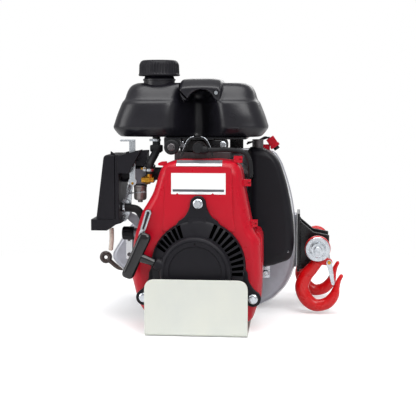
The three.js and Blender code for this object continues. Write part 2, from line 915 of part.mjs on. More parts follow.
const lugOutline = scaled(governorLugShares, lugRoot, lugReach, 0, governorLugHeight);
const governorLug = prism(
  alongY, lugOutline, -governorLugDepth, -governorLugDepth + governorLugThickness);
const crankChamber = rod(
  alongY, crankChamberRadius, -crankcaseFront + crankcaseWall, -crankcaseBack + cutOverrun, 0, 0);
const frontBore = rod(
  alongY, crankRadius + fitGap, -crankcaseFront - cutOverrun,
    -crankcaseFront + crankcaseWall + cutOverrun, 0, 0);
const cylinderBoreTool = rod(
  alongZ, cylinderBore, 0, cylinderRoof + cutOverrun, 0, cylinderDepthCentre);
add(engine, 'crankcase', cut(
  union(crankcaseBody, cylinderCore, fins, feet, fillerNeck, governorLug),
  crankChamber, frontBore, cylinderBoreTool, fillerBore), engineAlloy);

// Crankcase side cover, a cup with the flange that meets the gearbox
const sideCoverFront = -crankcaseBack + fitGap;
add(engine, 'crankcase_cover', turned(alongY, [
  [crankRadius + fitGap, sideCoverFront],
  [sideCoverRadius, sideCoverFront],
  [sideCoverRadius, -fitGap - engineFlangeThickness],
  [engineFlangeRadius, -fitGap - engineFlangeThickness],
  [engineFlangeRadius, -fitGap],
  [sideCoverRadius - sideCoverWall, -fitGap],
  [sideCoverRadius - sideCoverWall, sideCoverFront + sideCoverWall],
  [crankRadius + fitGap, sideCoverFront + sideCoverWall],
], 0, 0, fineSides), engineAlloy);

// Cylinder head with the boss of the spark plug
const headFront = cylinderDepthCentre - cylinderHalfDepth + headInset;
const headBack = cylinderDepthCentre + cylinderHalfDepth - headInset;
const headFloor = cylinderRoof + fitGap;
const plugRise = plugZ - crankHeight;
const headBlock = block(-headWidth / 2, headWidth / 2, headFront, headBack, headFloor, headRoof);
const plugBoss = rod(
  alongY, plugBossRadius, headFront - plugBossLength, headFront + rockerCoverInset, plugX, plugRise);
const plugBossWeb = block(
  plugX - plugBossRadius, plugX + plugBossRadius, headFront - cutOverrun, headFront + rockerCoverInset,
  headRoof - plugBossRadius, plugRise);
const plugThread = rod(
  alongY, plugRadius + fitGap, headFront - plugBossLength - cutOverrun, headFront, plugX, plugRise,
    boltSides);
const headCombustion = rod(
  alongZ, cylinderBore, headFloor - cutOverrun, headFloor + headInset, 0, cylinderDepthCentre);
add(engine, 'cylinder_head', cut(
  union(headBlock, plugBoss, plugBossWeb), plugThread, headCombustion), engineAlloy);

const rockerRoof = rockerCoverTop - crankHeight;
const rockerOutline = rounded(rectangle(
  -headWidth / 2 + rockerCoverInset, headWidth / 2 - rockerCoverInset,
  headRoof + fitGap, rockerRoof), rockerCoverInset, 2);
const rockerFront = headFront + rockerCoverInset + fitGap;
add(engine, 'rocker_cover', prism(
  alongY, rockerOutline, rockerFront, headBack - fitGap), castGrey);

// Spark plug, its cap and lead
const plugSeat = headFront - plugBossLength - fitGap;
const plugTip = plugSeat - plugHexLength - plugLength;
add(engine, 'spark_plug', union(
  rod(alongY, plugHexRadius, plugSeat - plugHexLength, plugSeat, plugX, plugRise, hexSides),
  rod(alongY, plugRadius, plugTip, plugSeat - plugHexLength + cutOverrun, plugX, plugRise, boltSides),
  rod(alongY, plugRadius, plugSeat - cutOverrun, headFront - fitGap - cutOverrun, plugX, plugRise,
    boltSides)),
ceramic);
const capMouth = plugSeat - plugHexLength - fitGap;
const capEnd = plugTip - fitGap - plugCapWall;
const capSide = plugX + plugCapRadius;
const leadCentreY = capEnd + plugCapSideRadius;
add(engine, 'spark_plug_cap', cut(
  union(
    rod(alongY, plugCapRadius, capEnd, capMouth, plugX, plugRise),
    rod(alongX, plugCapSideRadius, plugX, capSide + plugCapSideLength, leadCentreY,
      plugRise - plugCapWall, boltSides)),
  rod(alongY, plugRadius + fitGap, plugTip - fitGap, capMouth + cutOverrun, plugX, plugRise, boltSides)),
blackRubber);
const shroudTop = shroudBase + shroudHeight;
const lowClip = clipPlaceShares[1];
const leadDropX = lowClip[0] * shroudWidth + clipSize / 2;
const leadEndZ = shroudBase + lowClip[1] * shroudHeight + clipHeight / 2 - crankHeight + fitGap;
const leadY = -(shroudFront - shroudBevelDepth);
const leadPoints = [
  [capSide + plugCapSideLength + fitGap, leadCentreY, plugRise - plugCapWall],
  [capSide + plugCapSideLength + plugCapLength / 2, leadCentreY, plugRise - plugCapWall - fitGap],
  [capSide + plugCapSideLength + plugCapLength, leadY, shroudTop - crankHeight + clipHeight + leadRadius],
  [leadDropX - clipSize / 2, leadY, shroudTop - crankHeight + clipHeight],
  [leadDropX, leadY, shroudTop - crankHeight],
  [leadDropX, leadY, leadEndZ + clipHeight],
  [leadDropX, leadY, leadEndZ],
];
add(engine, 'plug_lead', bent(leadPoints, leadRadius, cordSides, leadSteps), blackRubber);

// Oil dipstick with its cap on the filler neck
add(engine, 'oil_dipstick', union(
  rod(alongX, dipstickCapRadius, fillerEnd - fitGap - dipstickCapLength, fillerEnd - fitGap, -fillerDepth,
    fillerRise),
  rod(alongX, dipstickRadius, fillerEnd - fitGap - cutOverrun, fillerEnd + dipstickLength, -fillerDepth,
    fillerRise, boltSides)),
blackMoulding);

// Crankshaft: nose, main journals, two webs and the crank pin
const webFront = cylinderDepthCentre - crankPinLength / 2 - crankWebWidth;
const webBack = cylinderDepthCentre + crankPinLength / 2 + crankWebWidth;
const noseEnd = -crankcaseFront - crankNoseLength;
const webs = [webFront, webBack - crankWebWidth].map(
  (y) => rod(alongY, crankWebRadius, y, y + crankWebWidth, 0, 0));
add(engine, 'crankshaft', union(
  rod(alongY, crankNoseRadius, noseEnd, webFront + cutOverrun, 0, 0),
  rod(alongY, crankRadius, -crankcaseFront - fitGap, webFront + cutOverrun, 0, 0),
  rod(alongY, crankRadius, webBack - cutOverrun, -fitGap, 0, 0),
  rod(alongY, crankNoseRadius, -fitGap - cutOverrun, clutchEndLength, 0, 0),
  webs,
  rod(alongY, crankPinRadius, webFront, webBack, 0, crankThrow)), steel);

// Flywheel with fan blades and the starter cup
const flywheelBack = -crankcaseFront - flywheelBackGap;
const flywheelFront = flywheelBack - flywheelThickness;
const bladeGeometry = new THREE.BoxGeometry(
  flywheelRadius - fanInnerRadius, fanBladeHeight + cutOverrun, fanBladeThickness);
bladeGeometry.translate(
  (flywheelRadius + fanInnerRadius) / 2, flywheelFront - (fanBladeHeight - cutOverrun) / 2, 0);
const blades = [];
for (let i = 0; i < fanBladeCount; i += 1) {
  blades.push(solid(bladeGeometry.clone().rotateY((2 * Math.PI * i) / fanBladeCount)));
}
add(engine, 'flywheel_fan', cut(
  union(
    turned(alongY, [
      [0, flywheelFront],
      [flywheelRadius, flywheelFront],
      [flywheelRadius, flywheelBack],
      [flywheelHubRadius, flywheelBack],
      [flywheelHubRadius, -crankcaseFront - runGap - fitGap],
      [0, -crankcaseFront - runGap - fitGap],
    ], 0, 0, fineSides),
    blades,
    pipe(alongY, starterCupRadius, starterCupRadius - starterCupWall,
      flywheelFront - starterCupHeight, flywheelFront + cutOverrun, 0, 0)),
  rod(alongY, crankNoseRadius + fitGap, noseEnd - starterCupHeight, 0, 0, 0)), engineAlloy);

// Fan shroud: a bevelled shell with the side wing, ear bosses and lead clips
const shroudFloor = shroudBase - crankHeight;
const shroudOutline = scaled(shroudOutlineShares, 0, shroudWidth, shroudFloor, shroudHeight);
const shroudMid = -shroudFront + shroudBevelDepth;
const shroudOuter = layeredY([
  { outline: inset(shroudOutline, shroudBevel), y: -shroudFront },
  { outline: inset(shroudOutline, shroudBevel / 4), y: shroudMid - shroudBevelDepth / 3 },
  { outline: shroudOutline, y: shroudMid },
  { outline: shroudOutline, y: -shroudBack },
]);
const shroudInner = layeredY([
  { outline: inset(shroudOutline, shroudBevel + shroudWall), y: -shroudFront + shroudWall },
  { outline: inset(shroudOutline, shroudBevel / 4 + shroudWall), y: shroudMid - shroudBevelDepth / 3 },
  { outline: inset(shroudOutline, shroudWall), y: shroudMid },
  { outline: inset(shroudOutline, shroudWall), y: -shroudBack + cutOverrun },
]);
const earAngles = [90, 210, 330].map((degrees) => THREE.MathUtils.degToRad(degrees));
const earPlaces = earAngles.map(
  (angle) => [earCircleRadius * Math.cos(angle), earCircleRadius * Math.sin(angle)]);
const earBosses = earPlaces.map(
  ([x, z]) => rod(alongY, earBossRadius, -shroudFront, shroudMid, x, z, boltSides));
const earHoles = earPlaces.map(
  ([x, z]) => rod(alongY, screwRadius + fitGap, -shroudFront - cutOverrun, shroudMid - cutOverrun, x, z,
    boltSides));
const throttleRise = throttleZ - crankHeight;
const throttleBossFront = -shroudFront + throttleBossRadius / 2;
const throttleBoss = rod(alongY, throttleBossRadius, throttleBossFront, shroudMid, throttleX, throttleRise);
const throttleHole = rod(
  alongY, throttlePinRadius + fitGap, throttleBossFront - cutOverrun, shroudMid - throttleBossRadius,
  throttleX, throttleRise, boltSides);
const wing = prism(
  alongY, scaled(wingOutlineShares, 0, shroudWidth, shroudFloor, shroudHeight), shroudMid, -wingBack);
const clips = clipPlaceShares.map(([u, v]) => {
  const x = u * shroudWidth;
  const z = shroudFloor + v * shroudHeight;
  return block(
    x - clipSize / 2, x + clipSize / 2 + shroudWall, shroudMid - clipLength / 2, shroudMid + clipLength / 2,
    z - clipHeight / 2, z + clipHeight / 2);
});
const topTab = block(
  shroudOutline[11][0] - tabLength / 2, shroudOutline[11][0] + tabLength,
  shroudMid, shroudMid + tabLength, shroudFloor + shroudHeight - shroudWall,
  shroudFloor + shroudHeight - shroudWall + tabHeight);
add(starter, 'fan_shroud', cut(
  union(cut(shroudOuter, shroudInner), earBosses, throttleBoss, wing, clips, topTab),
  rod(alongY, shroudOpeningRadius, -shroudFront - cutOverrun, -shroudFront + shroudWall + cutOverrun, 0,
    0, fineSides),
  earHoles, throttleHole), redMoulding);

// Recoil cover: a pressed dome with ears, air slots, the pulley post and the rope outlet
const recoilBack = -shroudFront - fitGap;
const recoilFront = recoilBack - recoilDepth;
const recoilShoulder = recoilBack - recoilShoulderDepth;
const ropeDirection = new THREE.Vector2(
  -Math.sin(THREE.MathUtils.degToRad(gripAngleDegrees)),
  Math.cos(THREE.MathUtils.degToRad(gripAngleDegrees)));
const ropeY = recoilFront + recoilWall + pulleySideGap + pulleyWidth / 2;
const dome = turned(alongY, [
  [0, recoilFront],
  [recoilShoulderRadius - recoilBossDepth, recoilFront],
  [recoilShoulderRadius - recoilWall, recoilFront + recoilWall],
  [recoilShoulderRadius, recoilShoulder],
  [recoilRadius - recoilWall, recoilShoulder + recoilWall],
  [recoilRadius, recoilShoulder + recoilBossDepth],
  [recoilRadius, recoilBack],
  [0, recoilBack],
], 0, 0, fineSides);
const domeInside = turned(alongY, [
  [0, recoilFront + recoilWall],
  [recoilShoulderRadius - recoilBossDepth - recoilWall, recoilFront + recoilWall],
  [recoilShoulderRadius - recoilWall, recoilShoulder + recoilWall],
  [recoilRadius - recoilWall, recoilShoulder + recoilBossDepth + recoilWall],
  [recoilRadius - recoilWall, recoilBack + cutOverrun],
  [0, recoilBack + cutOverrun],
], 0, 0, fineSides);
const ears = earAngles.map((angle) => {
  const reach = recoilRadius * Math.cos(earSpanShare);
  const half = recoilRadius * Math.sin(earSpanShare);
  const flare = half * earSpanShare * 2;
  const local = [
    [reach - earThickness, -half],
    [reach, -half],
    [reach + recoilBossDepth, -flare * earNeckShare],
    ...circle(earRadius, earCircleRadius, 0, boltSides)
      .filter(([u]) => u >= earCircleRadius - weldDistance)
      .sort((p, q) => p[1] - q[1]),
    [reach + recoilBossDepth, flare * earNeckShare],
    [reach, half],
    [reach - earThickness, half],
  ];
  const spun = local.map(([u, v]) => [
    u * Math.cos(angle) - v * Math.sin(angle), u * Math.sin(angle) + v * Math.cos(angle)]);
  return prism(alongY, spun, recoilBack - earThickness, recoilBack);
});
const earBores = earPlaces.map(
  ([x, z]) => rod(alongY, screwRadius + fitGap, recoilBack - earThickness - cutOverrun,
    recoilBack + cutOverrun, x, z, boltSides));
const slotGeometry = new THREE.BoxGeometry(slotOuterRadius - slotInnerRadius, recoilDepth, slotWidth);
slotGeometry.translate((slotOuterRadius + slotInnerRadius) / 2, recoilShoulder, 0);
const slotAngles = [];
for (let i = 0; i < rightSlotCount; i += 1) slotAngles.push(rightSlotStartDegrees + i * slotStepDegrees);
for (let i = 0; i < leftSlotCount; i += 1) slotAngles.push(leftSlotStartDegrees + i * slotStepDegrees);
const slots = slotAngles.map(
  (degrees) => solid(slotGeometry.clone().rotateY(-THREE.MathUtils.degToRad(degrees))));
const exitX = ropeExitX;
const exitZ = ropeExitZ - crankHeight;
function alongRope(distance) {
  return [exitX + ropeDirection.x * distance, exitZ + ropeDirection.y * distance];
}
function ropeRod(radius, from, to, sides) {
  const geometry = new THREE.CylinderGeometry(radius, radius, to - from, sides);
  geometry.rotateZ(Math.atan2(-ropeDirection.x, ropeDirection.y));
  geometry.rotateX(Math.PI / 2);
  const [x, z] = alongRope((from + to) / 2);
  geometry.translate(x, ropeY, z);
  return solid(geometry);
}
const post = rod(alongY, pulleyPostRadius, recoilFront + cutOverrun, recoilBack - pulleySideGap, 0, 0);
add(starter, 'recoil_cover', cut(
  union(cut(union(dome, ears, ropeRod(outletRadius, -outletLength, 0, roundSides)), domeInside, slots,
    earBores), post),
  ropeRod(ropeRadius + runGap, -outletLength * 2, cutOverrun, boltSides)), blackMoulding);

['top', 'left', 'right'].forEach((side, i) => {
  const head = recoilBack - earThickness - fitGap;
  const [x, z] = earPlaces[i];
  add(starter, 'recoil_screw_' + side, union(
    rod(alongY, screwHeadRadius, head - screwHeadHeight, head, x, z, hexSides),
    rod(alongY, screwRadius, head - cutOverrun, head + screwLength, x, z, boltSides)), zincFitting);
});

const pulleyFront = recoilFront + recoilWall + pulleySideGap;
add(starter, 'recoil_pulley', turned(alongY, [
  [pulleyPostRadius + fitGap, pulleyFront],
  [pulleyRadius, pulleyFront],
  [pulleyRadius, pulleyFront + pulleyFlange],
  [pulleyGrooveRadius, pulleyFront + pulleyFlange],
  [pulleyGrooveRadius, pulleyFront + pulleyWidth - pulleyFlange],
  [pulleyRadius, pulleyFront + pulleyWidth - pulleyFlange],
  [pulleyRadius, pulleyFront + pulleyWidth],
  [pulleyPostRadius + fitGap, pulleyFront + pulleyWidth],
], 0, 0), blackMoulding);

// Pull handle: a rounded grip across the rope, with a hollow stem
const gripCentreX = gripX;
const gripCentreZ = gripZ - crankHeight;
const gripAngle = THREE.MathUtils.degToRad(gripAngleDegrees);
const gripOutline = rounded(rectangle(
  -gripLength / 2, gripLength / 2, -gripWidth / 2, gripWidth / 2), gripWidth / 2, 4);
const gripShape = new THREE.Shape(gripOutline.map(([u, v]) => new THREE.Vector2(u, v)));
const gripBevel = gripDepth / 4;
const gripGeometry = new THREE.ExtrudeGeometry(gripShape, {
  depth: gripDepth - 2 * gripBevel,
  bevelThickness: gripBevel,
  bevelSize: gripBevel,
  bevelOffset: -gripBevel,
  bevelSegments: 1,
});
gripGeometry.translate(0, 0, -gripDepth / 2 + gripBevel);
gripGeometry.rotateZ(gripAngle);
gripGeometry.applyMatrix4(alongY);
gripGeometry.translate(gripCentreX, ropeY, gripCentreZ);
const stemEnd = stemLength;
const gripReach = stemEnd + gripWidth / 2;
add(starter, 'pull_handle', cut(
  union(solid(gripGeometry), ropeRod(stemRadius, fitGap, gripReach, boltSides)),
  ropeRod(ropeRadius + fitGap, -cutOverrun, gripReach - ropeRadius, boltSides)), blackPaint);
const exitPlace = new THREE.Vector2(exitX, exitZ);
const exitAlong = exitPlace.dot(ropeDirection);
const ropeOffset = Math.sqrt(exitPlace.lengthSq() - exitAlong ** 2);
const ropeReach = pulleyGrooveRadius + ropeRadius + fitGap;
const ropeStart = Math.sqrt(ropeReach ** 2 - ropeOffset ** 2) - exitAlong;
add(starter, 'starter_rope', ropeRod(ropeRadius, ropeStart, gripReach - ropeRadius - fitGap, cordSides),
  blackRubber);

// Throttle lever: a slotted strip on a pin at its lower end
const throttleAngle = THREE.MathUtils.degToRad(throttleAngleDegrees);
const throttleTopX = throttleX + throttleLength * Math.cos(throttleAngle) * (1 - throttleSlotShare / 4);
const throttleTopZ = throttleRise + throttleLength * Math.sin(throttleAngle);
const slotX = throttleX + (throttleTopX - throttleX) * throttleSlotShare;
const slotZ = throttleRise + (throttleTopZ - throttleRise) * throttleSlotShare;
const throttleFront = -shroudFront - throttleLift;
const throttleOutline = stadium(
  throttleX, throttleRise, throttlePivotRadius, throttleTopX, throttleTopZ, throttleEndRadius);
const throttleSlot = stadium(
  slotX, slotZ, throttleSlotWidth / 2, throttleTopX, throttleTopZ, throttleSlotWidth / 2 + fitGap);
add(starter, 'throttle_lever', union(
  cut(
    prism(alongY, throttleOutline, throttleFront, throttleFront + throttleThickness),
    prism(alongY, throttleSlot, throttleFront - cutOverrun, throttleFront + throttleThickness + cutOverrun)),
  rod(alongY, throttlePinRadius, throttleFront + throttleThickness - cutOverrun,
    shroudMid - throttleBossRadius - fitGap, throttleX, throttleRise, boltSides)), steel);

// Carburettor: body with end flanges, float bowl, brass fuel cock
const carbLeft = carburettorX - carburettorLength / 2;
const carbRight = carburettorX + carburettorLength / 2;
const carbRise = carburettorZ;
const carbFront = -carburettorDepth - carburettorWidth / 2;
const carbBack = -carburettorDepth + carburettorWidth / 2;
const carbBase = carbRise - carburettorHeight / 2;
const carbBody = prism(alongX, rounded(
  rectangle(carbFront, carbBack, carbBase, carbBase + carburettorHeight), carburettorRound, cornerSteps),
carbLeft, carbRight);
const carbNeck = prism(alongX, circle(carburettorNeckRadius, -carburettorDepth, carbRise, roundSides),
  carbLeft, carbRight);
const carbWaist = cut(
  block(carbLeft + carburettorFlange, carbRight - carburettorFlange, carbFront - cutOverrun,
    carbBack + cutOverrun,
    carbRise + carburettorHeight / 4, carbRise + carburettorHeight),
  carbNeck);
add(fuel, 'carburettor', cut(
  carbBody, carbWaist,
  rod(alongX, carburettorBore, carbLeft - cutOverrun, carbRight + cutOverrun, -carburettorDepth, carbRise)),
engineAlloy);
add(fuel, 'float_bowl', union(
  rod(alongZ, bowlRadius, carbBase - fitGap - bowlHeight, carbBase - fitGap, carburettorX,
    carbFront + bowlRadius),
  rod(alongZ, bowlNutRadius, carbBase - fitGap - bowlHeight - bowlNutHeight,
    carbBase - fitGap - bowlHeight + cutOverrun,
    carburettorX, carbFront + bowlRadius, hexSides)), zincFitting);
const cockBack = carbFront - fitGap;
const cockAxisY = cockBack - cockNutRadius;
add(fuel, 'fuel_cock', union(
  rod(alongX, cockRadius, cockX - cockLength / 2, cockX + cockLength / 2, cockAxisY, cockZ, boltSides),
  rod(alongX, cockNutRadius, cockX - cockLength / 5, cockX + cockLength / 5, cockAxisY, cockZ, hexSides),
  rod(alongY, cockRadius - fitGap, cockAxisY, cockBack, cockStubX, cockZ, boltSides),
  rod(alongZ, cockRadius, cockZ, cockZ + cockHeight / 2, cockHoseX, cockAxisY, boltSides),
  rod(alongZ, cockSpigotRadius, cockZ, cockZ + cockHeight / 2 + cockSpigotLength, cockHoseX, cockAxisY,
    boltSides)),
brass);

const manifoldStart = carbRight + fitGap;
const manifoldEnd = -headWidth / 2 - fitGap;
add(fuel, 'intake_manifold', cut(
  union(
    rod(alongX, manifoldRadius, manifoldStart, manifoldEnd, -carburettorDepth, carbRise),
    rod(alongX, manifoldFlangeRadius, manifoldStart, manifoldStart + manifoldFlangeThickness,
      -carburettorDepth, carbRise)),
  rod(alongX, manifoldBore, manifoldStart - cutOverrun, manifoldEnd + cutOverrun, -carburettorDepth,
    carbRise)),
blackMoulding);

// Choke lever: a strip with a round foot and a bent tab on top
const chokeBack = carbFront - fitGap;
const chokeFront = chokeBack - chokeThickness;
const chokeTop = chokeZ + chokeHeight;
add(fuel, 'choke_lever', union(
  rod(alongY, chokePivotRadius, chokeFront, chokeBack, chokeX, chokeZ),
  block(chokeX - chokeStemWidth / 2, chokeX + chokeStemWidth / 2, chokeFront, chokeBack, chokeZ, chokeTop),
  block(chokeX - chokeTabLength, chokeX + chokeStemWidth / 2, chokeFront - chokeTabThickness * 2, chokeBack,
    chokeTop - chokeTabThickness, chokeTop)), darkSteel);

// Governor arm on its lug
const armBack = -governorLugDepth - fitGap;
const armFront = armBack - governorThickness;
add(fuel, 'governor_arm', union(
  prism(alongY, stadium(
    governorX, governorZ, governorWidth / 2, governorX + governorLean, governorZ + governorLength,
    governorTipRadius), armFront, armBack),
  rod(alongY, governorPinRadius, armFront - governorThickness, armFront + cutOverrun, governorX,
    governorZ, boltSides)),
zincFitting);

// Air cleaner: base with tray, plate, outlet and snorkel; element; cover
function cleanerOutline(shares) {
  return scaled(shares, cleanerX, cleanerWidth, cleanerBase, cleanerHeight);
}
const breatherY = -cleanerFront + breatherInset;
const breatherHeight = carbBase - fitGap - bowlHeight - breatherRadius - breatherClearance;
const trayTop = cleanerBase + trayShares[5][1] * cleanerHeight;
const plateLeft = cleanerX;
const plateRight = cleanerX + cleanerPlate;
const cleanerTop = cleanerBase + cleanerHeight;
const outletEnd = carbLeft - fitGap;
add(fuel, 'air_cleaner_base', cut(
  union(
    prism(alongY, cleanerOutline(trayShares), -cleanerFront, -cleanerBack),
    block(plateLeft, plateRight, -cleanerFront, -cleanerBack, trayTop - cutOverrun, cleanerTop),
    prism(alongY, scaled(snorkelShares, plateRight - cutOverrun, cleanerWidth, cleanerBase,
      cleanerHeight), -snorkelFront, -snorkelBack),
    rod(alongX, outletTubeRadius, plateRight - cutOverrun, outletEnd, -carburettorDepth, carbRise),
    rod(alongX, breatherSpigotRadius, plateRight - cutOverrun, plateRight + cleanerPlate, breatherY,
      breatherHeight, boltSides)),
  rod(alongX, carburettorBore, plateLeft - cutOverrun, outletEnd + cutOverrun, -carburettorDepth, carbRise)),
blackMoulding);
const coverOutline = cleanerOutline(cleanerCoverShares);
const coverFins = [];
for (let i = 0; i < coverFinCount; i += 1) {
  const x = cleanerX - cleanerWidth / 4 + i * coverFinPitch - coverFinPitch / 2;
  coverFins.push(block(
    x, x + coverFinThickness, -cleanerFront + cleanerPlate, -cleanerBack - cleanerPlate,
    cleanerTop - cutOverrun, cleanerTop + coverFinHeight));
}
const coverInside = inset(coverOutline, cleanerWall).map(([x, z], i) => (
  i === 1 || i === 2 ? [cleanerX + cutOverrun, z] : [x, z]));
add(fuel, 'air_cleaner_cover', cut(
  union(layeredY([
    { outline: inset(coverOutline, cleanerWall), y: -cleanerFront },
    { outline: coverOutline, y: -cleanerFront + cleanerWall },
    { outline: coverOutline, y: -cleanerBack - cleanerWall },
    { outline: inset(coverOutline, cleanerWall), y: -cleanerBack },
  ]).intersect(block(
    cleanerX - cleanerWidth, cleanerX - fitGap, -cleanerFront, -cleanerBack, cleanerBase,
      cleanerTop + cutOverrun)),
  coverFins[0]),
  prism(alongY, coverInside, -cleanerFront + cleanerWall, -cleanerBack - cleanerWall)), blackMoulding);
add(fuel, 'air_filter_element', prism(alongX, rounded(rectangle(
  -cleanerFront + filterMargin, -cleanerBack - filterMargin, trayTop + filterMargin,
    cleanerTop - filterMargin), filterMargin, 2),
cleanerX - fitGap - filterThickness, cleanerX - fitGap), foam);

// Breather hose from the crankcase to the air cleaner, and the drain tube
const breatherStart = plateRight + fitGap;
const breatherReach = -crankcaseHalf - fitGap - breatherStart;
const breatherDrop = breatherHeight - fillerHeight + fillerRadius * 2;
const breatherPoints = breatherPlaceShares.map(
  ([along, down]) => [breatherStart + along * breatherReach, breatherY,
    breatherHeight - down * breatherDrop]);
add(fuel, 'breather_hose', cut(
  bent(breatherPoints, breatherRadius, cordSides, hoseSteps),
  bent(withOverrun(breatherPoints), breatherBore, hexSides, hoseSteps)), blackRubber);
const drainTop = cleanerBase - fitGap;
const drainPoints = [
  [drainX, -drainDepth, drainTop],
  [drainX, -drainDepth, drainTop - drainLength / 2],
  [drainX - drainRadius / 2, -drainDepth, drainTop - drainLength],
];
add(fuel, 'drain_tube', cut(
  bent(drainPoints, drainRadius, cordSides, drainSteps),
  bent(withOverrun(drainPoints), drainBore, hexSides, drainSteps)), clearTube);

// Fuel tank: a moulded shell with a valley in its front, a saddle, the neck and a spigot
const tankCentreY = -tankFront + tankDepth / 2;
function tankSide(sign, steps) {
  const side = [];
  for (let i = 0; i < steps; i += 1) {
    const u = sign * Math.cos((Math.PI * i) / steps);
    side.push([u, sign * (1 - Math.abs(u) ** tankCornerPower) ** (1 / tankCornerPower)]);
  }
  return side;
}
function tankRing(levelShares, wall, frontSteps, backSteps) {
  const [, widthShare, depthShare, valleyShare] = levelShares;
  const halfX = (tankWidth / 2) * widthShare - wall;
  const halfY = (tankDepth / 2) * depthShare - wall;
  return [...tankSide(-1, frontSteps), ...tankSide(1, backSteps)].map(([u, v]) => {
    const offCentre = (u - valleyCentreShare) / valleyWidthShare;
    const dip = v < 0 ? valleyShare * Math.exp(-(offCentre ** 2)) : 0;
    return [tankCentreX + halfX * u, tankCentreY + halfY * v + dip * tankDepth];
  });
}
function tankBody(levels, wall, frontSteps, backSteps) {
  const last = levels.length - 1;
  const rings = levels.map((level, i) => {
    const lift = i === 0 ? wall : 0;
    const drop = i === last ? wall : 0;
    const z = tankBottom + level[0] * tankHeight + lift - drop;
    return tankRing(level, wall, frontSteps, backSteps).map(([x, y]) => new THREE.Vector3(x, y, z));
  });
  return closedSkin(rings, (ring) => ring.map((p) => new THREE.Vector2(p.x, p.y)));
}
const tankTop = tankBottom + tankHeight;
const saddleTop = tankTop + saddleRise;
const saddleFloor = tankBottom + tankHeight * saddleBaseShare;
const saddleHalf = saddleWidth / 2;
const saddleRound = saddleWidth * saddleRoundShare;
const saddleOutline = rounded(rectangle(
  saddleX - saddleHalf, saddleX + saddleHalf, saddleFloor, saddleTop), saddleRound, 3);
const saddleFront = tankCentreY - tankDepth * saddleDepthShare;
const saddleBack = tankCentreY + tankDepth * saddleDepthShare;
const saddle = layeredY([
  { outline: inset(saddleOutline, saddleRound / 2).map(([x, z]) => [x, z - saddleRound]), y: saddleFront },
  { outline: saddleOutline, y: saddleFront + saddleRound },
  { outline: saddleOutline, y: saddleBack - saddleRound },
  { outline: inset(saddleOutline, saddleRound / 2), y: saddleBack },
]);
const neckTop = tankTop + neckRise;
const neckBeadBase = tankTop + neckBeadRise;
const neck = union(
  rod(alongZ, neckRadius, saddleFloor, neckTop, neckX, -neckDepth),
  rod(alongZ, neckBeadRadius, neckBeadBase, neckBeadBase + neckBeadHeight, neckX, -neckDepth));
add(fuel, 'fuel_tank', cut(
  union(tankBody(tankLevelShares, 0, tankFrontSteps, tankBackSteps), saddle, neck,
    rod(alongZ, spigotRadius, tankBottom - spigotLength, tankBottom + tankWall, tankSpigotX,
      -tankSpigotDepth, boltSides)),
  tankBody(tankInnerLevels.map((level) => tankLevelShares[level]), tankWall, tankInnerFrontSteps,
    tankInnerBackSteps),
  rod(alongZ, neckBore, saddleFloor, neckTop + cutOverrun, neckX, -neckDepth)), blackMoulding);

// Fuel cap: a ribbed shell over the neck, with a gasket between them
const gasketBase = neckTop + fitGap;
const capInside = gasketBase + gasketThickness + fitGap;
const capTop = capInside + capWall;
const capBase = capTop - capHeight;
function capRing(z, reduce) {
  const ring = [];
  for (let i = 0; i < capRibCount * 2; i += 1) {
    const angle = (Math.PI * i) / capRibCount;
    const radius = capRadius - reduce + (i % 2 ? capRibRadius : 0);
    ring.push(new THREE.Vector3(
      neckX + radius * Math.cos(angle), -neckDepth + radius * Math.sin(angle), z));
  }
  return ring;
}
add(fuel, 'fuel_cap', cut(
  closedSkin(
    [capRing(capBase, 0), capRing(capTop - capTopRound, 0), capRing(capTop, capTopRound)],
    (ring) => ring.map((p) => new THREE.Vector2(p.x, p.y))),
  rod(alongZ, neckRadius + runGap, capBase - cutOverrun, capInside, neckX, -neckDepth, capRibCount)),
blackMoulding);
add(fuel, 'fuel_cap_gasket', pipe(
  alongZ, neckRadius, neckBore - capWall, gasketBase, gasketBase + gasketThickness, neckX, -neckDepth),
    blackRubber);

// Tank bracket: a plate under the tank with legs on the casing, an arch over the plug cap and a round mount
const bracketTop = tankBottom - fitGap;
const bracketBase = bracketTop - bracketThickness;
const legBase = casingHeight + fitGap;
const archBase = bracketTop - archHeight;
const archOutline = scaled(archShares, archX, archWidth, archBase, archHeight + bracketThickness);
const archInner = scaled(
  archShares, archX, archWidth - 2 * archThickness, archBase, archHeight + bracketThickness - archThickness);
const arch = prism(alongY, [...archOutline, ...archInner.reverse()], -archFront, -archBack);
const legs = [-1, 1].map((side) => block(
  bracketX + (side * bracketLegSpread) / 2 - bracketLegWidth / 2,
  bracketX + (side * bracketLegSpread) / 2 + bracketLegWidth / 2,
  bracketBack - bracketLegThickness, bracketBack, legBase, bracketTop));
const mountBottom = mountZ - mountRadius;
add(fuel, 'tank_bracket', cut(union(
  block(bracketX - bracketWidth / 2, bracketX + bracketWidth / 2, -bracketFront, bracketBack, bracketBase,
    bracketTop),
  legs, arch,
  block(mountX - mountArmWidth / 2, archX + archWidth / 2, -archBack - cutOverrun,
    -bracketFront + cutOverrun, bracketBase, bracketTop),
  block(mountX - mountArmWidth / 2, mountX + mountArmWidth / 2, -archFront,
    -archFront + bracketThickness + cutOverrun, mountZ, bracketTop),
  rod(alongY, mountRadius, -archFront - mountLength, -archFront + bracketThickness, mountX, mountZ),
  block(mountX - mountArmWidth / 2, mountX + mountArmWidth / 2, -archFront, -archBack, bracketBase,
    bracketTop)),
rod(alongY, screwRadius, -archFront - mountLength - cutOverrun, -archFront + mountLength, mountX, mountZ,
  boltSides)), blackPaint);

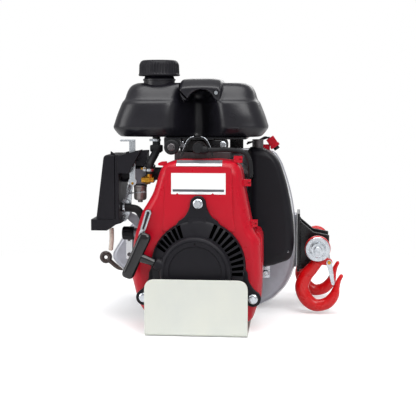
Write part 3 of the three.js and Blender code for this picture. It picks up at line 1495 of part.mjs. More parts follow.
// Fuel hose with its inline filter, from the tank spigot to the fuel cock
const hoseTop = tankBottom - fitGap;
const hoseEnd = cockZ + cockHeight / 2 + fitGap;
const hosePoints = [
  [tankSpigotX, -tankSpigotDepth, hoseTop],
  [tankSpigotX, -tankSpigotDepth, filterTop],
  [tankSpigotX, -tankSpigotDepth - hoseRadius / 2, filterBottom + filterRadius],
  [cockHoseX, cockAxisY, hoseEnd + cockSpigotLength * 2],
  [cockHoseX, cockAxisY, hoseEnd + cockSpigotLength],
  [cockHoseX, cockAxisY, hoseEnd],
];
add(fuel, 'fuel_hose', cut(
  union(
    bent(hosePoints, hoseRadius, cordSides, hoseSteps),
    rod(alongZ, filterRadius, filterBottom + filterRadius, filterTop, tankSpigotX, -tankSpigotDepth)),
  bent(withOverrun(hosePoints), hoseBore, hexSides, hoseSteps)), blackRubber);

// Muffler behind the guard: can, header from the head and upright outlet
const canTop = mufflerZ + mufflerHeight;
const canDepth = (mufflerFront + mufflerBack) / 2;
const headerPoints = [
  [headWidth / 2 + fitGap, -headerDepth, headerZ],
  [headWidth / 2 + headerRadius * 2, -headerDepth, headerZ],
  [guardX + headerRadius / 2, -canDepth - headerRadius, headerZ - headerRadius * 3],
  [mufflerX + headerRadius * 2, -canDepth, canTop - headerRadius * 2],
];
add(engine, 'muffler', cut(
  union(
    prism(alongY, rounded(rectangle(mufflerX, mufflerX + mufflerWidth, mufflerZ, canTop), mufflerRound,
      2), -mufflerFront, -mufflerBack),
    bent(headerPoints, headerRadius, cordSides, pipeSteps),
    rod(alongZ, outletPipeRadius, canTop - cutOverrun, outletPipeTop, outletPipeX, -canDepth)),
  rod(alongZ, outletPipeRadius - outletPipeWall, canTop, outletPipeTop + cutOverrun, outletPipeX, -canDepth)),
hardChrome).position.z = -crankHeight;

// Guard cover: a bevelled shell, open at the back, notched for the exhaust
const guardOutline = scaled(guardOutlineShares, guardX, guardWidth, guardZ, guardHeight);
const guardShell = cut(
  layeredY([
    { outline: inset(guardOutline, guardRound), y: -guardDepth },
    { outline: inset(guardOutline, guardRound / 4), y: -guardDepth + guardRoundDepth / 2 },
    { outline: guardOutline, y: -guardDepth + guardRoundDepth },
    { outline: guardOutline, y: -fitGap },
  ]),
  layeredY([
    { outline: inset(guardOutline, guardRound + guardWall), y: -guardDepth + guardWall },
    { outline: inset(guardOutline, guardRound / 4 + guardWall), y: -guardDepth + guardRoundDepth / 2 },
    { outline: inset(guardOutline, guardWall), y: -guardDepth + guardRoundDepth },
    { outline: inset(guardOutline, guardWall), y: cutOverrun },
  ]));
const guardTop = guardZ + guardHeight;
add(gearbox, 'guard_cover', cut(guardShell,
  rod(alongZ, outletPipeRadius + guardNotch, guardTop - mufflerRound * 2, guardTop + cutOverrun,
    outletPipeX, -canDepth),
  bent(headerPoints, headerRadius + guardNotch, cordSides, pipeSteps)), blackMoulding);

// Gearbox housing: the front casting with the clutch cup, bearing bosses and pads
const casingOutline = scaled(casingOutlineShares, 0, casingWidth, 0, casingHeight);
const casingInside = inset(casingOutline, casingWall);
const outputAngle = THREE.MathUtils.degToRad(outputAngleDegrees);
const centreThree = (moduleThree * (pinionThreeTeeth + gearThreeTeeth)) / 2;
const centreTwo = (moduleTwo * (pinionTwoTeeth + gearTwoTeeth)) / 2;
const centreOne = (moduleOne * (pinionOneTeeth + gearOneTeeth)) / 2;
const inputAxis = new THREE.Vector2(0, crankHeight);
const drumAxis = new THREE.Vector2(drumAxisX, drumAxisZ);
const secondAxis = drumAxis.clone().add(
  new THREE.Vector2(Math.cos(outputAngle), Math.sin(outputAngle)).multiplyScalar(centreThree));
const toSecond = secondAxis.clone().sub(inputAxis);
const firstAlong = (centreOne ** 2 - centreTwo ** 2 + toSecond.length() ** 2) / (2 * toSecond.length());
const firstAcross = Math.sqrt(centreOne ** 2 - firstAlong ** 2);
const unitSecond = toSecond.clone().normalize();
const firstAxis = inputAxis.clone()
  .addScaledVector(unitSecond, firstAlong)
  .addScaledVector(new THREE.Vector2(unitSecond.y, -unitSecond.x), firstAcross);
const gearPlaneOne = housingDepth + gearSideGap;
const gearPlaneTwo = gearPlaneOne + gearWidth + gearSideGap;
const gearPlaneThree = gearPlaneTwo + gearWidth + gearSideGap;
const gearEnd = gearPlaneThree + outputGearWidth + gearSideGap;
const clutchCupInner = clutchDrumRadius + clutchCupWall - runGap;
const clutchFloorStart = housingDepth - clutchFloor;
const housingBody = layeredY([
  { outline: inset(casingOutline, casingRound), y: 0 },
  { outline: inset(casingOutline, casingRound / 4), y: casingRound / 2 },
  { outline: casingOutline, y: casingRound + casingRound / 4 },
  { outline: casingOutline, y: housingDepth },
]);
const housingCavity = layeredY([
  { outline: inset(casingOutline, casingRound + casingWall), y: casingWall },
  { outline: inset(casingOutline, casingWall), y: casingRound + casingWall },
  { outline: casingInside, y: housingDepth + cutOverrun },
]);
const clutchCup = rod(alongY, clutchCupInner + clutchCupWall, 0, housingDepth, 0, crankHeight, fineSides);
function boss(axis, radius, from, to, sides = innerSides) {
  return rod(alongY, radius, from, to, axis.x, axis.y, sides);
}
const padOutline = rectangle(
  anchorPlateX - fitGap - padWidth, anchorPlateX - fitGap,
  anchorPlateBase + casingWall, anchorPlateBase + anchorPlateHeight - casingWall);
const padFloor = -padDepth / 2 + anchorDepth;
const sidePad = prism(alongY, rounded(rectangle(
  -sidePadX - padWidth / 2, -sidePadX + padWidth / 2, sidePadZ, sidePadZ + sidePadHeight), casingWall / 2, 2),
-sidePadLift, casingRound + casingWall);
const drainPlug = rod(alongY, drainPlugRadius, -drainPlugLength, casingWall, drainPlugX, drainPlugZ,
  hexSides);
add(gearbox, 'gearbox_housing', cut(
  union(
    cut(housingBody, housingCavity),
    clutchCup,
    boss(firstAxis, layshaftRadius + bearingBossWall, clutchFloorStart, housingDepth),
    boss(secondAxis, layshaftRadius + bearingBossWall, casingWall - cutOverrun, housingDepth),
    boss(drumAxis, drumShaftRadius + bearingBossWall, casingWall - cutOverrun, housingDepth),
    prism(alongY, padOutline, padFloor, housingDepth),
    sidePad, drainPlug),
  rod(alongY, clutchCupInner, -cutOverrun, clutchFloorStart, 0, crankHeight, fineSides),
  boss(inputAxis, pinionJournalRadius + fitGap, clutchFloorStart - cutOverrun, housingDepth + cutOverrun),
  boss(firstAxis, layshaftRadius + fitGap, housingDepth - journalLength / 2, housingDepth + cutOverrun),
  boss(secondAxis, layshaftRadius + fitGap, housingDepth - journalLength, housingDepth + cutOverrun),
  boss(drumAxis, drumShaftRadius + fitGap, housingDepth - journalLength * 2, housingDepth + cutOverrun,
    roundSides)),
castGrey);

// Gearbox cover: the rear casting with the bearing boss of the drum
const coverFront = housingDepth + fitGap;
const coverBack = housingDepth + coverDepth;
const coverFloor = coverBack - casingWall;
const bossEnd = coverBack + bearingBossLength;
const coverBody = layeredY([
  { outline: casingOutline, y: coverFront },
  { outline: casingOutline, y: coverBack - casingRound },
  { outline: inset(casingOutline, casingRound / 4), y: coverBack - casingRound / 3 },
  { outline: inset(casingOutline, casingRound), y: coverBack },
]);
const coverCavity = layeredY([
  { outline: casingInside, y: coverFront - cutOverrun },
  { outline: casingInside, y: coverFloor - casingRound / 3 },
  { outline: inset(casingOutline, casingRound / 3 + casingWall), y: coverFloor },
]);
const layBossEnd = coverBack + casingWall;
add(gearbox, 'gearbox_cover', cut(
  union(
    cut(coverBody, coverCavity),
    boss(firstAxis, layshaftRadius + bearingBossWall, gearPlaneThree + gearSideGap, coverFloor + cutOverrun),
    boss(secondAxis, layshaftRadius + bearingBossWall, coverFloor + gearSideGap, layBossEnd),
    boss(drumAxis, bearingBossRadius, coverFloor + cutOverrun, bossEnd, fineSides),
    prism(alongY, padOutline, coverFront, anchorDepth + padDepth)),
  boss(firstAxis, layshaftRadius + fitGap, gearPlaneThree, coverFloor),
  boss(secondAxis, layshaftRadius + fitGap, coverFloor - cutOverrun, layBossEnd - gearSideGap * 2),
  boss(drumAxis, bearingOuterRadius + fitGap, coverFloor - cutOverrun, bossEnd - gearSideGap * 2, fineSides),
  boss(drumAxis, drumShaftRadius + fitGap, coverFloor, bossEnd + cutOverrun, roundSides)), castGrey);

// Involute gear outline about the origin, tooth centred on an angle
function gearOutline(teeth, module, turn, flankPoints) {
  const pressure = THREE.MathUtils.degToRad(pressureAngleDegrees);
  const pitch = (module * teeth) / 2;
  const base = pitch * Math.cos(pressure);
  const tip = pitch + module * addendumShare;
  const root = pitch - module * dedendumShare;
  const involute = (radius) => {
    const angle = radius > base ? Math.acos(base / radius) : 0;
    return Math.tan(angle) - angle;
  };
  const half = (Math.PI * module) / 2 - backlash;
  const atPitch = half / (2 * pitch) + involute(pitch);
  const radii = [];
  for (let i = 0; i < flankPoints; i += 1) radii.push(root + ((tip - root) * i) / (flankPoints - 1));
  const points = [];
  for (let tooth = 0; tooth < teeth; tooth += 1) {
    const centre = turn + (2 * Math.PI * tooth) / teeth;
    radii.forEach((radius) => {
      const angle = centre - (atPitch - involute(radius));
      points.push([radius * Math.cos(angle), radius * Math.sin(angle)]);
    });
    [...radii].reverse().forEach((radius) => {
      const angle = centre + (atPitch - involute(radius));
      points.push([radius * Math.cos(angle), radius * Math.sin(angle)]);
    });
  }
  return points;
}
function meshAngle(fromAxis, toAxis) {
  return Math.atan2(toAxis.y - fromAxis.y, toAxis.x - fromAxis.x);
}
function pinion(teeth, module, fromAxis, toAxis, from, to) {
  return prism(alongY, gearOutline(teeth, module, meshAngle(fromAxis, toAxis), 3), from, to);
}
function wheel(teeth, module, fromAxis, toAxis, from, to) {
  const turn = meshAngle(fromAxis, toAxis) + Math.PI / teeth;
  return prism(alongY, gearOutline(teeth, module, turn, 2), from, to);
}

// Clutch: hub and shoes on the crankshaft, drum with the input pinion behind them
const clutchInner = clutchDrumRadius - clutchDrumWall;
const clutchEnd = clutchStart + clutchHubWidth;
const shoeOuter = clutchInner - clutchShoeGap;
const shoeInner = shoeOuter - clutchShoeThickness;
add(engine, 'clutch_hub', cut(
  union(
    rod(alongY, clutchHubRadius, clutchStart, clutchEnd, 0, 0),
    block(-clutchArmWidth / 2, clutchArmWidth / 2, clutchStart, clutchEnd, -shoeOuter + clutchShoeGap,
      shoeOuter - clutchShoeGap)),
  rod(alongY, crankNoseRadius + fitGap, clutchStart - cutOverrun, clutchEnd + cutOverrun, 0, 0)), darkSteel);
const shoeRing = pipe(alongY, shoeOuter, shoeInner, clutchStart, clutchEnd, 0, 0, fineSides);
[['left', -1], ['right', 1]].forEach(([side, sign]) => {
  const inner = clutchArmWidth / 2 + fitGap;
  const near = sign * inner;
  const far = sign * clutchDrumRadius;
  const window = block(
    Math.min(near, far), Math.max(near, far), clutchStart - cutOverrun, clutchEnd + cutOverrun,
    -clutchDrumRadius, clutchDrumRadius);
  add(engine, 'clutch_shoe_' + side, shoeRing.intersect(window), darkSteel);
});
const clutchWebEnd = clutchStart + clutchDrumDepth;
add(gearbox, 'clutch_drum', union(
  turned(alongY, [
    [0, clutchWebEnd - clutchDrumWall],
    [clutchInner, clutchWebEnd - clutchDrumWall],
    [clutchInner, clutchStart - gearSideGap],
    [clutchDrumRadius, clutchStart - gearSideGap],
    [clutchDrumRadius, clutchWebEnd],
    [0, clutchWebEnd],
  ], 0, 0, fineSides),
  rod(alongY, pinionJournalRadius, clutchWebEnd - cutOverrun, gearPlaneOne, 0, 0, innerSides),
  pinion(pinionOneTeeth, moduleOne, inputAxis, firstAxis, gearPlaneOne - gearSideGap / 2,
    gearPlaneOne + gearWidth)),
steel, inputAxis.x, 0, inputAxis.y);

// Layshafts: each a wheel and a pinion on one shaft
add(gearbox, 'first_gear', union(
  wheel(gearOneTeeth, moduleOne, firstAxis, inputAxis, gearPlaneOne, gearPlaneOne + gearWidth),
  pinion(pinionTwoTeeth, moduleTwo, firstAxis, secondAxis, gearPlaneOne + gearWidth - gearSideGap,
    gearPlaneTwo + gearWidth),
  rod(alongY, layshaftRadius, housingDepth - journalLength / 2 + runGap, coverFloor - runGap, 0, 0,
    innerSides)),
steel, firstAxis.x, 0, firstAxis.y);
add(gearbox, 'second_gear', union(
  wheel(gearTwoTeeth, moduleTwo, secondAxis, firstAxis, gearPlaneTwo, gearPlaneTwo + gearWidth),
  pinion(pinionThreeTeeth, moduleThree, secondAxis, drumAxis, gearPlaneTwo + gearWidth - gearSideGap,
    gearPlaneThree + outputGearWidth),
  rod(alongY, layshaftRadius, housingDepth - journalLength + runGap,
    layBossEnd - gearSideGap * 2 - runGap, 0, 0, innerSides)),
steel, secondAxis.x, 0, secondAxis.y);
const outputGearHub = drumShaftRadius + bearingBossWall;
add(gearbox, 'output_gear', cut(
  union(
    wheel(gearThreeTeeth, moduleThree, drumAxis, secondAxis, gearPlaneThree,
      gearPlaneThree + outputGearWidth),
    rod(alongY, outputGearHub, gearPlaneTwo, gearPlaneThree + cutOverrun, 0, 0)),
  rod(alongY, drumShaftRadius + fitGap, gearPlaneTwo - cutOverrun, gearEnd, 0, 0)),
steel, drumAxis.x, 0, drumAxis.y);

// Drum shaft with its flatted seat, the bearing, the drum and its bolt
const drumStart = bossEnd + gearSideGap * 2;
const drumEnd = drumStart + drumLength;
const seatEnd = drumEnd - drumRecess + drumRim;
const drumFloor = drumEnd - drumRecess;
const flatSeat = rod(alongY, drumSeatRadius, bossEnd, drumFloor - fitGap, 0, 0)
  .intersect(block(-drumFlat, drumFlat, bossEnd, seatEnd, -drumSeatRadius, drumSeatRadius));
add(gearbox, 'drum_shaft', cut(
  union(
    rod(alongY, drumShaftRadius, housingDepth - journalLength * 2 + runGap, bossEnd + gearSideGap, 0, 0),
    flatSeat),
  rod(alongY, drumBoltRadius + fitGap, drumFloor - drumLength / 2, drumFloor + cutOverrun, 0, 0, boltSides)),
steel, drumAxis.x, 0, drumAxis.y);
add(gearbox, 'drum_bearing', pipe(
  alongY, bearingOuterRadius, drumShaftRadius + runGap, bossEnd - gearSideGap * 2 - runGap - bearingWidth,
  bossEnd - gearSideGap * 2 - fitGap, 0, 0, fineSides), steel, drumAxis.x, 0, drumAxis.y);
const flatBore = rod(alongY, drumSeatRadius + fitGap, drumStart - cutOverrun, drumEnd, 0, 0)
  .intersect(block(-drumFlat - fitGap, drumFlat + fitGap, drumStart - cutOverrun, drumEnd, -drumRecess,
    drumRecess));
add(gearbox, 'capstan_drum', cut(
  turned(alongY, [
    [0, drumStart],
    [drumFlangeRadius, drumStart],
    [drumFlangeRadius, drumStart + drumRim],
    ...drumCurveShares.map(([wide, along]) => [drumWaistRadius * wide, drumStart + drumLength * along]),
    [drumEndRadius, drumEnd - drumRim / 2],
    [drumEndRadius - drumRim / 2, drumEnd],
    [0, drumEnd],
  ], 0, 0, fineSides),
  rod(alongY, drumHubRadius + drumRim, drumFloor, drumEnd + cutOverrun, 0, 0, fineSides),
  flatBore), hardChrome, drumAxis.x, 0, drumAxis.y);
add(gearbox, 'drum_bolt', union(
  rod(alongY, drumWasherRadius, drumFloor + fitGap, drumFloor + fitGap + drumBoltHead / 2, 0, 0),
  rod(alongY, drumBoltRadius * 2, drumFloor + fitGap,
    drumFloor + fitGap + drumBoltHead + drumBoltHead / 2, 0, 0, hexSides),
  rod(alongY, drumBoltRadius, drumFloor - drumLength / 2 + drumRim, drumFloor + fitGap + cutOverrun, 0, 0,
    boltSides)),
zincFitting, drumAxis.x, 0, drumAxis.y);

// Stop switch on a foot over the casing, drawn along its own slanted axis
const switchAngle = THREE.MathUtils.degToRad(switchAngleDegrees);
function slanted(geometry) {
  return solid(geometry.rotateY(-switchAngle).translate(switchX, switchDepth, switchZ));
}
function slantedBox(u0, u1, side) {
  const geometry = new THREE.BoxGeometry(u1 - u0, side, side);
  return slanted(geometry.translate((u0 + u1) / 2, 0, 0));
}
function slantedRod(radius, u0, u1, sides) {
  const geometry = new THREE.CylinderGeometry(radius, radius, u1 - u0, sides);
  return slanted(geometry.rotateZ(-Math.PI / 2).translate((u0 + u1) / 2, 0, 0));
}
const collarEnd = switchLength / 2;
const collarStart = collarEnd - switchCollarLength;
const socketFloor = collarEnd - buttonSocketDepth;
const switchCasing = union(
  slantedBox(-switchLength / 2, collarStart + cutOverrun, switchSide),
  slantedBox(collarStart, collarEnd, switchCollar));
const footTopZ = switchZ - switchSide / 4;
const switchFoot = cut(
  block(
    switchX - switchLength, switchX - switchFootWidth / 2,
    switchDepth - switchFootWidth / 2, switchDepth + switchFootWidth / 2,
    casingHeight - casingWall, footTopZ),
  prism(alongY, inset(casingOutline, -fitGap), 0, housingDepth));
add(gearbox, 'stop_switch', cut(
  union(switchCasing, switchFoot),
  slantedRod(buttonRadius + fitGap, socketFloor, collarEnd + cutOverrun, boltSides)), redMoulding);
add(gearbox, 'stop_switch_button', slantedRod(
  buttonRadius, socketFloor + buttonTravel + fitGap, socketFloor + buttonTravel + fitGap + buttonLength,
    boltSides),
blackMoulding);

// Anchor bracket: plate on the casing pads, two webs and the cross tube
const plateFront = anchorDepth - anchorPlateDepth / 2;
const plateBack = anchorDepth + anchorPlateDepth / 2;
const hookFrontY = anchorDepth - hookSpread / 2;
const hookRearY = anchorDepth + hookSpread / 2;
const tubeFront = hookFrontY + hookEyeThickness / 2 + hookSideGap;
const tubeBack = hookRearY - hookEyeThickness / 2 - hookSideGap;
const webOutline = scaled(anchorWebShares, anchorPlateX + anchorPlateThickness - cutOverrun - anchorX,
  anchorWebLength, 0, anchorWebHalfHeight);
const anchorWebs = [plateFront + anchorWebInset, plateBack - anchorWebInset - anchorWebThickness].map(
  (y) => prism(alongY, webOutline, y, y + anchorWebThickness));
const plateBase = anchorPlateBase - anchorZ;
add(anchor, 'anchor_bracket', cut(
  union(
    block(anchorPlateX - anchorX, anchorPlateX - anchorX + anchorPlateThickness, plateFront, plateBack,
      plateBase, plateBase + anchorPlateHeight),
    anchorWebs,
    rod(alongY, anchorTubeRadius, tubeFront, tubeBack, 0, 0)),
  rod(alongY, anchorBoltRadius + fitGap, tubeFront - cutOverrun, tubeBack + cutOverrun, 0, 0,
    roundSides)), blackPaint);

// Anchor bolt with its washers and nuts
const washerFront = hookFrontY - hookEyeThickness / 2 - hookSideGap;
const washerBack = hookRearY + hookEyeThickness / 2 + hookSideGap;
const nutFront = washerFront - anchorWasherThickness - anchorNutHeight;
const nutBack = washerBack + anchorWasherThickness + anchorNutHeight;
add(anchor, 'anchor_bolt', union(
  rod(alongY, anchorBoltRadius, nutFront - anchorThreadLength, nutBack + anchorThreadLength, 0, 0),
  rod(alongY, anchorWasherRadius, washerFront - anchorWasherThickness, washerFront, 0, 0, fineSides),
  rod(alongY, anchorWasherRadius, washerBack, washerBack + anchorWasherThickness, 0, 0, fineSides),
  rod(alongY, anchorNutRadius, nutFront, washerFront - cutOverrun, 0, 0, hexSides),
  rod(alongY, anchorNutRadius, washerBack + cutOverrun, nutBack, 0, 0, hexSides)), zincFitting);

// Hook: an eye and a tapering forged bow, drawn about the bolt axis
const hookCurve = new THREE.CatmullRomCurve3(
  hookPathShares.map(([x, z, w]) => new THREE.Vector3(x * hookDrop, z * hookDrop, w * hookHalfWidth)));
const hookRings = [];
for (let i = 0; i <= hookRingCount; i += 1) {
  const place = hookCurve.getPoint(i / hookRingCount);
  const tangent = hookCurve.getTangent(i / hookRingCount);
  const side = new THREE.Vector2(-tangent.y, tangent.x).normalize();
  const thick = Math.min(hookHalfThickness, place.z);
  const ring = [];
  for (let k = 0; k < hookRingSides; k += 1) {
    const angle = (2 * Math.PI * k) / hookRingSides;
    const across = place.z * Math.cos(angle);
    ring.push(new THREE.Vector3(
      place.x + side.x * across, thick * Math.sin(angle), place.y + side.y * across));
  }
  hookRings.push(ring);
}
const hookBow = closedSkin(hookRings, (ring) => ring.map((p, k) => {
  const angle = (2 * Math.PI * k) / hookRingSides;
  return new THREE.Vector2(Math.cos(angle), Math.sin(angle));
}));
const hookShape = cut(
  union(
    hookBow,
    rod(alongY, hookEyeRadius, -hookEyeThickness / 2, hookEyeThickness / 2, 0, 0, roundSides),
    prism(alongY, stadium(0, -hookEyeRadius, latchLugRadius, latchX, -latchDrop, latchLugRadius),
      -latchLugThickness / 2, latchLugThickness / 2)),
  rod(alongY, anchorBoltRadius + fitGap, -hookEyeThickness, hookEyeThickness, 0, 0),
  rod(alongY, latchPinRadius + fitGap, -hookEyeThickness, hookEyeThickness, latchX, -latchDrop, boltSides));

// Latch: a sheet channel round the lug, on its own pin, drawn about that pin
const latchHalf = latchLugThickness / 2 + fitGap;
const latchLean = THREE.MathUtils.degToRad(latchLeanDegrees);
const latchEndX = latchLength * Math.sin(latchLean);
const latchEndZ = -latchLength * Math.cos(latchLean);
const latchOutline = stadium(0, 0, latchEyeRadius, latchEndX, latchEndZ, latchTipRadius);
const cheeks = [-latchHalf - latchSheet, latchHalf].map(
  (y) => prism(alongY, latchOutline, y, y + latchSheet));
const latchWebOutline = [
  [latchEndX * latchWebShare - latchSheet, latchEndZ * latchWebShare],
  [latchEndX + latchTipRadius - latchSheet, latchEndZ],
  [latchEndX + latchTipRadius, latchEndZ],
  [latchEndX * latchWebShare + latchSheet, latchEndZ * latchWebShare],
];
const latchShape = union(
  cheeks,
  prism(alongY, latchWebOutline, -latchHalf - latchSheet / 2, latchHalf + latchSheet / 2),
  rod(alongY, latchPinRadius, -latchHalf - latchSheet - latchPinOverhang,
    latchHalf + latchSheet + latchPinOverhang, 0, 0, boltSides));
[['front', hookFrontY], ['rear', hookRearY]].forEach(([side, y]) => {
  add(anchor, 'hook_' + side, hookShape, redPaint, 0, y, 0);
  add(anchor, 'latch_' + side, latchShape, zincFitting, latchX, y, -latchDrop);
});

// Rope guide: a foot on the casing edge, a bent rod and the ring
const guideRing = new THREE.TorusGeometry(guideRingRadius, guideRodRadius, hexSides, roundSides);
guideRing.rotateX(Math.PI / 2);
guideRing.translate(guideX, guideDepth, guideZ);
const guideFootY = coverBack + fitGap;
const guideRod = bent([
  [guideFootX, guideFootY + guideRodRadius + fitGap, guideFootZ],
  [guideFootX - guideRise, guideFootY + guideRise, guideFootZ - guideRise],
  [guideX + guideRingRadius + guideRise, guideDepth + fitGap, guideFootZ - guideRise],
  [guideX + guideRingRadius / 2, guideDepth, guideZ - guideRingRadius + cutOverrun],
], guideRodRadius, hexSides, pipeSteps);
add(gearbox, 'rope_guide', union(
  solid(guideRing), guideRod,
  rod(alongY, guideFootRadius, guideFootY, guideFootY + guideFootThickness, guideFootX, guideFootZ)),
    blackPaint);

export default winch;
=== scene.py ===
import math

import bmesh
import bpy
from mathutils import Matrix, Vector


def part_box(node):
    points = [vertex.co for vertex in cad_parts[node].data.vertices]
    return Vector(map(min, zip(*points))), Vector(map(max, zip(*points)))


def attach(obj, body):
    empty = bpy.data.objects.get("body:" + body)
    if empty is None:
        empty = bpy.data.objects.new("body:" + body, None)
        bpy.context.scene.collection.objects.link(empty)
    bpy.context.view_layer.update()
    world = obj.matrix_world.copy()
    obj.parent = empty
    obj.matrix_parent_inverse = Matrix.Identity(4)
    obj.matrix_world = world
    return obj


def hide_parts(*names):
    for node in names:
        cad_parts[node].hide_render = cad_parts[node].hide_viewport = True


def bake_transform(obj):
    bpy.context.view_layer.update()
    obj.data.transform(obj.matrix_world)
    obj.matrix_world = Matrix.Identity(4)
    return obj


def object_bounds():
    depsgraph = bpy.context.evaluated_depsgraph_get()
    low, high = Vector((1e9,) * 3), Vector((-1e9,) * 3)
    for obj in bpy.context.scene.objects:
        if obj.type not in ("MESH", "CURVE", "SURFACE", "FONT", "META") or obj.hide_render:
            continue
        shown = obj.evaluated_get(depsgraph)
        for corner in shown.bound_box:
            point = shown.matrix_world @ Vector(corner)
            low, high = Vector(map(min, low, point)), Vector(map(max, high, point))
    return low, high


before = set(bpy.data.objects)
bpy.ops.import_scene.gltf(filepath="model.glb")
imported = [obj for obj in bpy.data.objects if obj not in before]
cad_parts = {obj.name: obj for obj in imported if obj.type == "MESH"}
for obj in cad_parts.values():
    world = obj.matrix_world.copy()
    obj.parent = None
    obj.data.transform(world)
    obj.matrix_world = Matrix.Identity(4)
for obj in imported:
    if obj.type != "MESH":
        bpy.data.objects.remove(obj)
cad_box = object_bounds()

bl_info = {
    "name": "Capstan winch",
    "version": (1, 0, 0),
    "blender": (4, 5, 0),
    "location": "3D view > Sidebar > Winch",
    "description": "Dresses the petrol capstan winch around its fixed frame",
    "category": "Object",
}

# Shapes are drawn in millimetres: X to the right, depth from the front face of the casing, and
# height from the floor. The frame's origin lies CASING_DEPTH in front of that face.
MM = 0.001
CASING_DEPTH = 106.0
CRANK_HEIGHT = 87.0
ANCHOR = (160.0, 95.0)
LATCH_PIVOT = (ANCHOR[0] + 16.4, ANCHOR[1] - 19.3)
HOOK_DEPTHS = {"front": -25.0, "rear": 95.0}
DRUM_AXIS = (-64.0, 86.0)
NECK_AXIS = (-65.4, -44.0)
BOWL_AXIS = (-87.5, -82.5)
THROTTLE_PIVOT = (-78.0, 122.0)
# Where the starter rope leaves its cover, and how far its way leans from upright, in degrees
ROPE_OUTLET = (-56.0, -161.8, 93.0)
ROPE_LEAN = 69.7
# Lengths below this count as nothing
CLOSE = 1e-6


def linear(colour):
    """Turns an sRGB hex colour into linear channels."""
    channels = [int(colour[i:i + 2], 16) / 255 for i in (1, 3, 5)]
    return tuple(c / 12.92 if c <= 0.04045 else ((c + 0.055) / 1.055) ** 2.4 for c in channels)


# ---------------------------------------------------------------- sizes and colours

def colour_property(name, description, colour):
    """A colour that a user can change, given as sRGB hex."""
    return bpy.props.FloatVectorProperty(
        name=name, description=description, subtype="COLOR", size=3, min=0, max=1,
        default=linear(colour))


def length_property(name, description, millimetres):
    """A length that a user can change; Blender keeps it in metres."""
    return bpy.props.FloatProperty(
        name=name, description=description, default=millimetres * MM, min=0,
        unit="LENGTH", subtype="DISTANCE", precision=5)


class WinchColours(bpy.types.PropertyGroup):
    """Colours of the winch's finishes"""
    tank: colour_property("Tank moulding", "Blow-moulded polyethylene of the fuel tank", "#121117")
    moulding: colour_property("Black moulding", "Injection-moulded nylon of covers", "#100f14")
    shroud: colour_property("Red moulding", "Moulded polypropylene of the fan shroud", "#b80a22")
    red_paint: colour_property("Red paint", "Powder coat on the hooks", "#cf0a10")
    black_paint: colour_property("Black paint", "Powder coat on the brackets", "#0d0d10")
    casting: colour_property("Blasted casting", "Blasted aluminium of the gearbox", "#b2b3bc")
    plate: colour_property("Zinc plate", "Zinc-plated sheet of the skid", "#c9cdc9")
    brass: colour_property("Brass", "Turned brass of the fuel cock", "#c9912f")
    drain: colour_property("Clear tube", "Aged clear vinyl of the drain tube", "#e2d2c6")
    floor: colour_property("Floor", "Studio floor", "#e9e9ea")


class WinchSizes(bpy.types.PropertyGroup):
    """Sizes of the details that the frame leaves open"""
    # A real grain is about 0.3 mm; both are drawn coarser so that they show in a render
    grain: length_property("Moulding grain", "Size of the grain in the black mouldings", 1.1)
    blast: length_property("Blast grain", "Size of the pits in the blasted castings", 1.3)
    label_width: length_property("Blank label width", "Width of the blank label", 72)
    label_height: length_property("Blank label height", "Height of the blank label", 28)
    tank_voxel: length_property("Tank mesh", "Size of the faces of the tank", 1.5)
    hook_voxel: length_property("Hook mesh", "Size of the faces of the hooks", 0.9)
    cap_ribs: bpy.props.IntProperty(
        name="Cap ribs", description="Ribs round the fuel cap", default=40, min=8, max=60)
    casing_screws: bpy.props.IntProperty(
        name="Casing screws", description="Screws round the gearbox", default=11, min=6, max=20)


# ---------------------------------------------------------------- flat outlines and solids

def place(x, y, z):
    """A point of the drawing in the frame's metres."""
    return (x * MM, (y + CASING_DEPTH) * MM, z * MM)


def arc(centre, radius, start, end, steps):
    """Points on a circle from one angle to another, in degrees."""
    turns = [math.radians(start + (end - start) * i / steps) for i in range(steps + 1)]
    return [(centre[0] + radius * math.cos(t), centre[1] + radius * math.sin(t)) for t in turns]


def circle(radius, centre, steps=48):
    """A closed round outline."""
    return arc(centre, radius, 0, 360, steps)[:-1]


def spline(points, steps, closed=True):
    """A smooth curve through points of any dimension."""
    points = [Vector(p) for p in points]
    count = len(points)
    result = []
    for i in range(count if closed else count - 1):
        if closed:
            a, b, c, d = (points[(i + k) % count] for k in (-1, 0, 1, 2))
        else:
            a, b, c, d = (points[min(max(i + k, 0), count - 1)] for k in (-1, 0, 1, 2))
        for s in range(steps):
            t = s / steps
            result.append(0.5 * (2 * b + (c - a) * t + (2 * a - 5 * b + 4 * c - d) * t * t
                                 + (3 * b - a - 3 * c + d) * t ** 3))
    if not closed:
        result.append(points[-1])
    return [tuple(p) for p in result]


def rounded(outline, radius, steps=6):
    """Rounds the corners of a closed outline."""
    result = []
    count = len(outline)
    for i, corner in enumerate(outline):
        corner = Vector(corner)
        before = Vector(outline[i - 1]) - corner
        after = Vector(outline[(i + 1) % count]) - corner
        reach = min(radius, before.length * 0.49, after.length * 0.49)
        start, end = corner + before.normalized() * reach, corner + after.normalized() * reach
        for s in range(steps + 1):
            t = s / steps
            result.append(tuple(start.lerp(corner, t).lerp(corner.lerp(end, t), t)))
    return result


def grown(outline, distance):
    """Moves a closed outline out by a distance, or in by a negative one."""
    count = len(outline)
    area = sum(outline[i - 1][0] * outline[i][1] - outline[i][0] * outline[i - 1][1]
               for i in range(count))
    sign = 1 if area > 0 else -1
    result = []
    for i in range(count):
        here = Vector(outline[i])
        back = (here - Vector(outline[i - 1])).normalized()
        ahead = (Vector(outline[(i + 1) % count]) - here).normalized()
        along = (back + ahead)
        along = along.normalized() if along.length > CLOSE else ahead
        out = Vector((along.y, -along.x)) * sign
        stretch = 1 / max(0.6, along.dot(ahead))
        result.append(tuple(here + out * distance * stretch))
    return result


